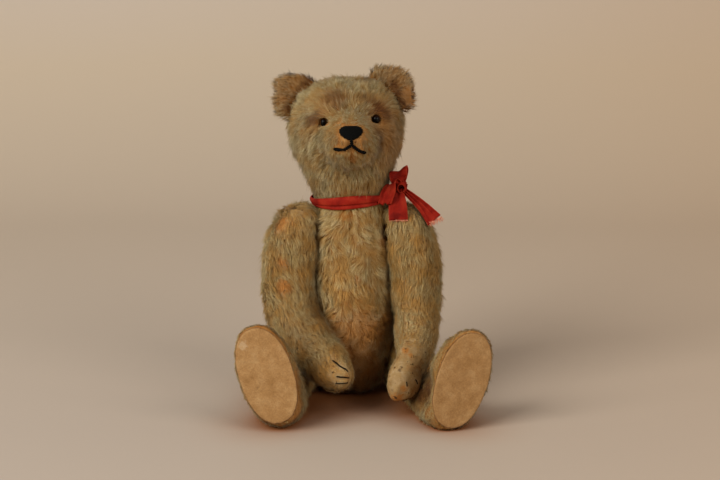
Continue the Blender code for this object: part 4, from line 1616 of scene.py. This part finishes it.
@dataclass(kw_only=True)
class Head(StuffedPart):
    """The head: a short-haired muzzle round the nose, and longer fur behind it."""

    nose: Place = (0, -57, 190.5)
    seams: tuple[Seam, ...] = (Seam((0, -45, 178), (1, 0, 0), (0, -1, -1), depth=0.7, width=1.2),)
    worn: tuple[WornPlace, ...] = (
        WornPlace((-2, -54, 190.5), (4, -54, 189.5), 9, 0.3, 0.3),
        WornPlace((0.8, -55, 184), (1.2, -50, 173), 3.6, 0.3, 0.35),
        round_place((-7.5, -43.5, 196.5), 3.2, 0.35, 0.45),
        WornPlace((27, -30, 196), (31, -22, 172), 20, 1, 0.95, 0.4),
        round_place((-10, -28, 211), 12, 1, 1, 0.35),
    )
    toned: tuple[Tone, ...] = (
        Tone((-10, -28, 211), 16, 0.3),
        Tone((12, -29, 208), 13, 0.4),
        # Painted shade round the eye on this side.
        Tone((17, -26, 199), 9, 0),
        Tone((21.5, -22, 197), 5, 0.2),
        # Painted light: paler under the chin, where shade falls.
        Tone((2, -46, 164), 22, 1.22),
        # Painted shade round the other eye.
        Tone((-19.6, -29, 196), 7, 0.2),
        Tone((-24.5, -25, 196.5), 5, 0.3),
        Tone((-28, -22, 190), 16, 0.85),
        # Painted shade on the muzzle's flank and on the side of the head away from the key lamp.
        Tone((18, -37, 184), 12, 0.4),
        Tone((34, -16, 188), 30, 0.75),
    )

    def comb(self, points: Array) -> Array:
        """Away from the nose, and down over the cheeks and the chin."""
        ways = unit(points - np.array(self.nose))
        ways[:, 2] -= 0.75 * (1 - eased(184, 204, points[:, 2]))
        return ways

    def short(self, points: Array) -> Array:
        """Short on the muzzle, and full from the eyes back."""
        away = np.linalg.norm(points - np.array(self.nose), axis=1)
        return (0.5 + 0.5 * eased(11, 30, away)) * (1 - 0.5 * eased(152, 141, points[:, 2]))

    def skin(self) -> MohairSkin:
        """Cloth with a seam under the chin."""
        return MohairSkin("head", "head", seams=self.seams, mesh_size=1.3)

    def pile(self) -> MohairPile:
        """Dense faded pile."""
        look = {"density": 3.05, "length": 7.6, "seed": 23}
        return MohairPile("head_pile", "head", HEAD_PILE, toned=self.toned, **look)


@dataclass(kw_only=True)
class Ear(StuffedPart):
    """An ear: a flat cup, with fur on both faces that stands out round its rim.

    Attributes:
        root: where it is sewn to the head, in mm.
        crease: places along the crease of its hollow face, where shade is painted on the pile, in mm.
    """

    root: Place
    crease: Sequence[Place]

    def comb(self, points: Array) -> Array:
        """Out from the root to the rim, hanging a little."""
        return unit(points - np.array(self.root)) - np.array([0, 0, 0.35])

    def skin(self) -> MohairSkin:
        """Thin, even cloth."""
        node = "ear_" + self.side.word
        return MohairSkin(node, "head", mesh_size=0.9, inset=0.3, lumps=0.15, pushes=self.pushes)

    def pile(self) -> MohairPile:
        """Short dense pile, with painted shade along the crease and over the hollow face."""
        # Painted shade: the pile is darkened along the crease, and less over the whole hollow face.
        painted_crease_shade = (Tone(place, 5.5, 0.05) for place in self.crease)
        toned = (*painted_crease_shade, Tone(self.crease[1], 40, 0.66))
        look = {"density": 3.6, "length": 6.2, "rise": (32, 8), "seed": 31 + self.side.value}
        return MohairPile(f"ear_{self.side.word}_pile", "head", HEAD_PILE, toned=toned, **look)


@dataclass(kw_only=True)
class Arm(StuffedPart):
    """An arm, worn bare in places, with the claws stitched on its paw.

    Attributes:
        paw: a point ahead of the paw's end, to which the fur is combed, in mm.
        spots: stains and bared threads on its cloth, as the function mark takes them.
    """

    paw: Place
    spots: Sequence[Spot]

    def comb(self, points: Array) -> Array:
        """Along the arm to the paw."""
        return unit(np.array(self.paw) - points)

    def short(self, points: Array) -> Array:
        """Full length to the wrist, and short on the paw."""
        return 0.42 + 0.58 * eased(36, 78, away_from(self.paw, points))

    def skin(self) -> MohairSkin:
        """Rubbed and stained cloth."""
        shape = {"worn": self.worn, "spots": self.spots, "pushes": self.pushes}
        node = "arm_" + self.side.word
        return MohairSkin(node, node, mesh_size=1.1, backing=RUBBED_BACKING, **shape)

    def pile(self) -> MohairPile:
        """Dingy pile, dark round the stains."""
        dark = (Tone(place, 1.25 * radius, 0.1) for place, radius, level in self.spots if level > 0)
        node = "arm_" + self.side.word
        look = {"density": 2.5, "length": 7.6, "seed": 41 + self.side.value}
        return MohairPile(node + "_pile", node, LIMB_PILE, toned=(*self.toned, *dark), **look)


@dataclass(kw_only=True)
class Leg(StuffedPart):
    """A leg: the sole is a piece of its own."""

    def comb(self, points: Array) -> Array:
        """Forward to the foot, and a little down."""
        ways = np.zeros_like(points)
        ways[:, 1] = -1
        ways[:, 2] = -0.35
        return ways

    def short(self, points: Array) -> Array:
        """Full length on the leg, and clipped short round the sole."""
        return 0.32 + 0.68 * eased(-97, -72, points[:, 1])

    def skin(self) -> MohairSkin:
        """Plain cloth."""
        node = "leg_" + self.side.word
        return MohairSkin(node, node, mesh_size=1.4, pushes=self.pushes)

    def pile(self) -> MohairPile:
        """Dingy pile, a little shorter than the arm's."""
        node = "leg_" + self.side.word
        look = {"density": 2.25, "length": 7, "seed": 51 + self.side.value}
        return MohairPile(node + "_pile", node, LIMB_PILE, toned=self.toned, **look)


class PawNap(Coat):
    """The short nap that is left on the felt of a paw, combed as the torso is."""

    def comb(self, points: Array) -> Array:
        """Down, as on the torso."""
        return Torso().comb(points)


# ------------------------------------------------------------------------------------- ribbon


@dataclass
class Ribbon:
    """One length of ribbon, tied round the neck with a bow of short loops beside it.

    Attributes:
        width: the ribbon's width, in mm.
        knot: the knot's middle, in mm.
        neck: the middle of the band round the neck, in mm; not used.
        radius: the band's inner radius, in mm.
    """

    width: float = 13.5
    knot: Place = (33.2, -13, 145.5)
    neck: Place = (0.2, 0, 141)
    radius: float = 26.6
    THICKNESS = 0.22

    across: int = 18
    used: float = 0.0

    def laid(self, name: str, rows: Array, gone: Array, closed: bool = False) -> Piece:
        """Makes a strip of cloth from rows of points across it.

        Args:
            name: the object's name.
            rows: the points, by row along the ribbon and place across it, in mm.
            gone: how far along the ribbon each row is, in mm.
            closed: whether the last row meets the first.

        Returns:
            The strip, 0.22 mm thick, with its own map in mm.
        """
        many, across = rows.shape[:2]
        laps = many if closed else many - 1
        corners = [(i, j) for i in range(laps) for j in range(across - 1)]
        starts = [(i * across + j, (i + 1) % many * across + j) for i, j in corners]
        faces = [(here, here + 1, beyond + 1, beyond) for here, beyond in starts]
        made = meshed(name, rows.reshape(-1, 3) * MM, faces)
        layer = made.data.uv_layers.new(name="cloth").data
        for face, loops in zip(faces, made.data.polygons):
            for k, corner in enumerate(loops.loop_indices):
                i, j = divmod(face[k], across)
                lap = gone[-1] if closed and i == 0 and face[0] // across == many - 1 else 0.0
                layer[corner].uv = ((j / (across - 1) - 0.5) * self.width, gone[i] + lap)
        modify(made, "SOLIDIFY", thickness=self.THICKNESS * MM, offset=0)
        made.data.shade_smooth()
        return made

    def strip(
        self, name: str, route: Sequence[Sequence[float]], count: int, crease: float = 0.35, seed: int = 0
    ) -> Piece:
        """A strip that follows a route and turns as it goes.

        Args:
            name: the object's name.
            route: rows of place (three, from the knot), direction across (three) and width share.
            count: how many rows of points it gets.
            crease: how deep its lengthwise creases are, in mm.
            seed: which creases.

        Returns:
            The strip.
        """
        line = smooth_line(route, count)
        path = line[:, :3] + np.array(self.knot)
        forward = unit(np.gradient(path, axis=0))
        side = unit(line[:, 3:6] - forward * (line[:, 3:6] * forward).sum(axis=1, keepdims=True))
        face = np.cross(forward, side)
        share = np.clip(line[:, 6], 0.2, 1)
        gone = gone_along(path)
        self.used += gone[-1]
        t = np.linspace(-0.5, 0.5, self.across)
        tight = np.clip(1 - share, 0, 1)[:, None]
        phase = (t[None] * (3.2 + 5 * tight)) * math.pi + seed + gone[:, None] * 0.06
        pleats = (crease + 1.3 * tight) * np.sin(phase)
        pleats += 0.15 * np.sin(gone[:, None] * 0.9 + t[None] * 5 + seed)
        rows = path[:, None] + side[:, None] * (t[None, :, None] * self.width * share[:, None, None])
        rows = rows + face[:, None] * pleats[:, :, None]
        return self.laid(name, rows, gone)

    def band(self) -> Piece:
        """The length round the neck, folded on itself along its lower half.

        Returns:
            The closed band.
        """
        profile = smooth_line(
            [(4.3, 0.5), (4, 1.1), (2.2, 1.7), (0.2, 1.75), (-1.1, 1.45), (-1.5, 1), (-1, 0.72)]
            + [(0.2, 0.6), (0.6, 0.45), (-0.3, 0.34), (-2.2, 0.5), (-3.7, 0.85), (-4.6, 0.5)],
            26,
        )
        many = 120
        angles = np.linspace(0, 2 * math.pi, many, endpoint=False)
        lean = Matrix.Rotation(math.radians(-3.4), 3, "Y")
        rows = np.empty((many, len(profile), 3))
        for i, angle in enumerate(angles):
            front, back = max(0, math.cos(angle + 0.08)) ** 2, 0.7 * max(0, -math.cos(angle)) ** 2
            height = 0.48 + 0.52 * max(front, back)
            wave = 0.35 * math.sin(angle * 7 + 1) + 0.25 * math.sin(angle * 13)
            middle = 0.4 + 1.1 * max(front, back) + 0.3 * math.sin(angle * 3 + 0.5)
            for j, (up, out) in enumerate(profile):
                reach = self.radius + out + 0.18 * wave * math.sin(j * 0.5 + angle * 5)
                level = middle + up * height + 0.12 * wave
                rows[i, j] = lean @ Vector((math.sin(angle) * reach, -math.cos(angle) * reach, level))
        rows += np.array((0, 0, 137))
        gone = angles * self.radius
        self.used += 2 * math.pi * self.radius
        self.across, kept = len(profile), self.across
        made = self.laid("ribbon_band", rows, gone, closed=True)
        self.across = kept
        return made

    def fringe(self, ends: Sequence[tuple[Place, Place, Place, float]], seed: int) -> Piece:
        """Frayed threads along the cut ends.

        Args:
            ends: for each cut, its two corners from the knot, the way its threads hang and how long
                they are, in mm.
            seed: which threads.

        Returns:
            The threads as one piece.
        """
        rng = np.random.default_rng(seed)
        threads = []
        for first, last, way, long in ends:
            for share in np.linspace(0.01, 0.99, 46):
                start = np.array(self.knot) + np.array(first) * (1 - share) + np.array(last) * share
                go = unit(np.array([way]) + rng.normal(size=(1, 3)) * 0.28)[0] * rng.uniform(0.5, 1) * long
                end = start + go + rng.normal(size=3) * 0.3
                path = smooth_line([start - go * 0.3, start + go * 0.5, end], 5)
                threads.append(plied("thread", path, 0.13, 0, 0, 4))
        return finished(joined("ribbon_fringe", threads), FRAYED, "torso")

    def build(self) -> Piece:
        """Returns:
            The ribbon.
        """
        round_knot = [
            (1.8 + 3.2 * math.cos(a), -2 + 0.5 * math.cos(a), 2 + 3.1 * math.sin(a), 0.1, 1, 0.15, 0.6)
            for a in np.linspace(0.3, 2 * math.pi + 0.1, 9)
        ]
        core = [
            (-2.5, -0.6, 3.2, 0.3, 0.1, 1, 0.5), (1.6, 0.3, 1.6, 0.3, 0.1, 1, 0.62),
            (5, -0.8, 0.2, 0.3, 0.1, 1, 0.5),
        ]
        up = [
            (0.5, -2.2, 2, 0.9, 0.3, 0.2, 0.42), (-0.8, -4.2, 6.5, 0.93, 0.2, 0.3, 0.72),
            (-0.8, -4.4, 10.5, 0.88, 0.1, 0.5, 0.88), (0.1, -3, 13.2, 0.85, 0, 0.62, 0.94),
            (0.5, -1.4, 12.8, 0.85, -0.1, 0.6, 0.92), (0.8, -0.4, 8, 0.93, -0.1, 0.3, 0.7),
            (0.6, -0.4, 2, 0.9, 0.2, 0.2, 0.42),
        ]
        down = [
            (0, -3, 3.6, 0.3, -0.3, 0.9, 0.42), (-3.6, -5.5, 5.2, 0.6, -0.3, 0.7, 0.7),
            (-7.2, -7.5, 0.2, 0.88, -0.3, 0.4, 0.78), (-9.4, -9, -6.6, 0.93, -0.3, 0.15, 0.7),
            (-9.5, -8, -8.8, 0.93, -0.3, 0.15, 0.68), (-7.4, -5.6, -4, 0.88, -0.3, 0.3, 0.66),
            (-2.5, -2.4, 1, 0.6, -0.3, 0.6, 0.42),
        ]
        front = [
            (0, -2.5, 1, 1, 0, 0, 0.5), (-1, -6, -4, 1, -0.1, 0, 0.78), (-0.8, -8.5, -11, 1, 0, 0, 0.94),
            (-0.4, -10.5, -19.6, 1, 0.1, 0, 0.98),
        ]
        aside = [
            (2, -1.4, 0.5, 0.2, 0.2, 1, 0.3), (9, -3, -5, 0.6, 0.3, 0.9, 0.42),
            (17, -5, -12, 0.75, 0.3, 0.8, 0.58), (24.4, -6.5, -20.6, 0.9, 0.2, 0.4, 0.86),
        ]
        pieces = [
            self.band(),
            self.strip("knot_turn", round_knot, 40, 0.2, 2),
            self.strip("knot_core", core, 14, 0.2, 6),
            self.strip("loop_up", up, 44, 0.2, 1),
            self.strip("loop_down", down, 44, 0.25, 3),
            self.strip("tail_front", front, 30, 0.2, 4),
            self.strip("tail_side", aside, 36, 0.2, 5),
        ]
        ribbon = joined("ribbon", pieces)
        ends = [
            ((-6.8, -10.6, -19.6), (6.2, -10.4, -19.6), (0, -0.2, -1), 1.3),
            ((19.4, -7.8, -22.8), (29.4, -5.4, -18.4), (0.5, -0.1, -0.86), 3.6),
        ]
        fringe = self.fringe(ends, 7)
        finished(ribbon, RIBBON, "torso")
        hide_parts("neck_ribbon")
        return ribbon


# ------------------------------------------------------------------------------------- studio


@dataclass
class Studio:
    """A pale seamless floor, soft lamps and the camera.

    Attributes:
        elevation: how far the camera looks down, in degrees.
        distance: how far it stands from its aim, in metres.
        aim: what it looks at, in metres.
    """

    elevation: float = 11.5
    distance: float = 1.19
    aim: Place = (0.0065, 0, 0.10715)

    def floor(self) -> None:
        """Sweeps the floor up to a backdrop in one piece."""
        only()
        bpy.ops.mesh.primitive_plane_add(size=9, location=(0, -3.1, 0))
        sweep = bpy.context.object
        sweep.name = sweep.data.name = "studio_sweep"
        bpy.ops.object.transform_apply(location=True)
        bpy.ops.object.mode_set(mode="EDIT")
        for raised in (False, True):
            bpy.ops.mesh.select_mode(type="EDGE")
            bpy.ops.mesh.select_all(action="DESELECT")
            shape = bmesh.from_edit_mesh(sweep.data)
            for edge in shape.edges:
                edge.select = all(v.co.y > 1.0 and v.co.z < 0.1 for v in edge.verts)
            bmesh.update_edit_mesh(sweep.data)
            if raised:
                bpy.ops.mesh.bevel(offset=0.8, segments=24)
            else:
                bpy.ops.mesh.extrude_region_move(TRANSFORM_OT_translate={"value": (0, 0, 3)})
        bpy.ops.object.mode_set(mode="OBJECT")
        sweep.data.shade_smooth()
        SWEEP.on(sweep)

    def lamp(self, name: str, place: Place, size: float, power: float, colour: str) -> None:
        """Adds one soft lamp that looks at the bear.

        Args:
            name: the lamp's name.
            place: where it stands, in metres.
            size: its side, in metres.
            power: its power, in watts.
            colour: its colour.
        """
        data = bpy.data.lights.new(name, "AREA")
        data.shape, data.size, data.energy, data.color = "SQUARE", size, power, linear(colour)[:3]
        lamp = linked(name, data)
        lamp.location = place
        lamp.rotation_euler = (Vector((0, 0, 0.1)) - lamp.location).to_track_quat("-Z", "Y").to_euler()

    def build(self) -> None:
        """Sets up the floor, the lamps, the world and the camera."""
        self.floor()
        self.lamp("key_lamp", (-1.2, -1.15, 1.05), 1.2, 33, "#FFFAF3")
        self.lamp("fill_lamp", (1.3, -1.2, 0.9), 1.2, 14, "#FFF4E8")
        world = bpy.data.worlds.new("studio_air")
        world.use_nodes = True
        graph = Graph(world.node_tree)
        air = graph.tree.nodes["Background"]
        air.inputs[0].default_value, air.inputs[1].default_value = linear("#FFFAF4"), 0.22
        rays = add_node(graph.tree, "LightPath").outputs
        direct = graph.maths("ADD", rays["Is Camera Ray"], rays["Is Glossy Ray"])
        direct = graph.maths("ADD", direct, rays["Is Transmission Ray"], clamp=True)
        seen = graph.add("Background", {0: linear("#897C6E"), 1: 1.0})
        both = graph.add("MixShader", {0: direct, 1: air.outputs[0], 2: seen})
        graph.tree.links.new(both, graph.tree.nodes["World Output"].inputs[0])
        bpy.context.scene.world = world
        data = bpy.data.cameras.new("camera")
        data.lens, data.sensor_width, data.clip_start = 85, 36, 0.05
        camera = linked("camera", data)
        down = math.radians(self.elevation)
        back = Vector((0, -math.cos(down), math.sin(down)))
        camera.location = Vector(self.aim) + back * self.distance
        camera.rotation_euler = (math.pi / 2 - down, 0, 0)
        bpy.context.scene.camera = camera
        bpy.context.scene.view_settings.view_transform = "Standard"


# -------------------------------------------------------------------------------------- main

PAW_PUSHES = (
    Push((34, -44, 42), 42, (4.5, 0, 0)),
    Push((20, -44, 45), 26, (6.5, 0, 0)),
    Push((24, -44, 43), 18, (5, 0, 0)),
    Push((20, -62, 36), 20, (4, 0, 0)),
    Push((24, -24, 58), 22, (4.5, 0, 0)),
    Push((30, -76, 15), 16, (0, -0.5, -4)),
    Push((41, -68, 19), 14, (3.5, 0, -2.5)),
)

# How far each claw runs past its CAD node at its low and its high end, in mm.
CLAWS = {Side.LEFT: ((0, 0), (0, 0)), Side.RIGHT: ((0, 2.4), (1.2, 3.2), (0.6, 2.4))}
SOLE_SPOTS = {
    Side.RIGHT: (((-69.3, -100.3, 58.1), 3.4, -0.45), ((-60, -102, 30), 1.2, 0.3)),
    Side.LEFT: (((70, -98, 64), 1.6, 0.5), ((80.5, -101, 36), 1.2, 0.45)),
}


def sew(side: Side, obstacles: Obstacles) -> None:
    """Sews the claws, the sole and the paw pad of one side.

    Args:
        side: the side.
        obstacles: takes each piece, so that the pile stays clear of it.
    """
    arm = "arm_" + side.word
    pushes = PAW_PUSHES if side is Side.LEFT else ()
    for number, longer in enumerate(CLAWS[side], start=1):
        radius = 0.55 if side is Side.RIGHT and number < 3 else 0.42
        obstacles.add(Stitch(f"claw_{side.word}_paw_{number}", arm, radius, longer, pushes).build())
    obstacles.add(FeltPad("foot_pad_" + side.word, "leg_" + side.word, SOLE_SPOTS[side]).build())
    pad = FeltPad("paw_pad_" + side.word, arm, (), EATEN_FELT, pushes=pushes).build()
    look = {"density": 2.2, "length": 1.7, "width": 0.2, "rise": (50, 20), "seed": 61}
    nap = MohairPile("paw_nap_" + side.word, arm, LIMB_PILE, **look)
    nap.grow(pad, PawNap(), lambda points: np.zeros(len(points)), Obstacles())
    obstacles.add(pad)


def main() -> None:
    """Builds the bear piece by piece, then the studio."""
    logging.basicConfig(level=logging.INFO, format="%(name)s: %(message)s")
    joints, obstacles = Joints(), Obstacles()
    joints.dress()
    LOG.info("joint hardware dressed")
    for eye, narrowed in ((GlassEye(Side.LEFT, 0.92, 0.3), 1.25), (GlassEye(Side.RIGHT, 0.62, 1), 1.7)):
        obstacles.add_eye(eye.build(), narrowed)
    LOG.info("glass eyes set")
    for piece in Muzzle().build():
        obstacles.add(piece)
    LOG.info("nose and mouth stitched")
    for side in Side:
        sew(side, obstacles)
    LOG.info("claws and pads sewn")
    obstacles.add(Ribbon().build())
    LOG.info("ribbon tied")
    Torso().build(joints, obstacles)
    LOG.info("torso covered")
    Head().build(joints, obstacles)
    LOG.info("head covered")
    Ear(
        side=Side.LEFT,
        root=(14, 6, 190),
        crease=((28, 0, 214.5), (31, 0, 209), (34, -1, 203.5)),
        worn=(round_place((39, -2.6, 209), 8, 1, 0.85, 0.55), round_place((28, -2, 214), 22, 1, 1, 0.25)),
        pushes=(Push((17, 1, 224), 13, (-2.6, 0, 1.6)), Push((41, 0, 203), 10, (1.6, 0, -0.8))),
    ).build(joints, obstacles)
    Ear(
        side=Side.RIGHT,
        root=(-14, 6, 190),
        crease=(
            (-26, -2, 219.5), (-29.5, -3, 214.5), (-32.5, -3, 210), (-35.5, -4, 205.5), (-38.5, -5, 200.5),
        ),
        worn=(round_place((-44, -5, 207), 4, 0.9, 0.8, 0.5), round_place((-36, -4, 208), 24, 1, 1, 0.3)),
        pushes=(Push((-47, -1, 219), 13, (-3.4, 0, 2.4)), Push((-49, -4, 200), 11, (-2.2, 0, 0))),
    ).build(joints, obstacles)
    LOG.info("ears covered")
    Arm(
        side=Side.LEFT,
        paw=(36, -112, 6),
        worn=(
            WornPlace((34, -34, 44), (36, -68, 24), 28, 1, 0.4, 0),
            WornPlace((38, -66, 40), (32, -78, 18), 16, 0.7, 0.35, 0.1),
            WornPlace((53, -46, 30), (48, -68, 17), 11, 1, 0.3, 0),
            round_place((32, -75.5, 17), 6.5, 0.45, 0.4),
            round_place((36, -77.5, 25.5), 4, 0.35, 0.4),
            round_place((38.5, -66, 43), 4.5, 0.45, 0.5),
        ),
        spots=(
            ((31.2, -76, 15), 6, -0.8), ((36, -78.5, 22.5), 3.5, -0.8), ((37.4, -79.6, 25.1), 1.8, 1),
            ((42.3, -70.9, 23.3), 1.8, 0.9), ((33.1, -76.1, 34.5), 1.6, 0.7),
            ((36.7, -62.9, 44.6), 3.5, -0.8),
            ((28.5, -76.7, 21.3), 1.5, 0.7), ((34, -75, 36.5), 1.2, 0.6), ((33.5, -78, 20), 1.2, 0.8),
            ((37, -77.5, 20), 1.1, 0.7), ((40.5, -66.5, 42), 2.5, -0.7),
        ),
        pushes=PAW_PUSHES,
        # The first tone is painted shade on the arm where it lies in the gap by the leg; the second makes the
        # paw paler.
        toned=(Tone((54, -52, 25), 13, 0.1), Tone((42, -74, 24), 9, 1.3)),
    ).build(joints, obstacles)
    Arm(
        side=Side.RIGHT,
        paw=(6, -116, 14),
        worn=(
            round_place((-47.7, -21.3, 123.4), 8, 0.4, 0.45, 0.9),
            round_place((-46.1, -35.1, 82.5), 6, 0.5, 0.5, 0.9),
            round_place((-46.7, -32, 99), 5, 0.55, 0.5, 0.8),
            round_place((-6, -82, 32), 12, 0.95, 0.5, 0),
        ),
        spots=(
            ((-47.7, -21.3, 123.4), 9, -0.7), ((-46.1, -35.1, 82.5), 7, -0.7), ((-46.7, -32, 99), 5, -0.7),
        ),
        toned=(
            # Painted shade on the arm's inner side, against the body.
            Tone((-32, -52, 52), 28, 0.75),
            Tone((-22, -30, 62), 22, 0.6),
            Tone((-8, -82, 32), 20, 1.3),
        ),
    ).build(joints, obstacles)
    LOG.info("arms covered")
    Leg(
        side=Side.LEFT,
        # Painted shade on the leg's inner side, in the gap by the paw and under the body.
        toned=(Tone((46, -72, 24), 24, 0.05), Tone((30, -40, 30), 24, 0.6)),
        pushes=(Push((42, -80, 26), 25, (8.5, 0, 0)),),
    ).build(joints, obstacles)
    Leg(
        side=Side.RIGHT,
        worn=(WornPlace((-32, -88, 34), (-34, -96, 12), 12, 0.8, 0.55, 0.75),),
        # Painted shade low on the leg's inner side.
        toned=(Tone((-30, -70, 16), 24, 0.7),),
    ).build(joints, obstacles)
    LOG.info("legs covered")
    Studio().build()


if __name__ == "__main__":
    main()
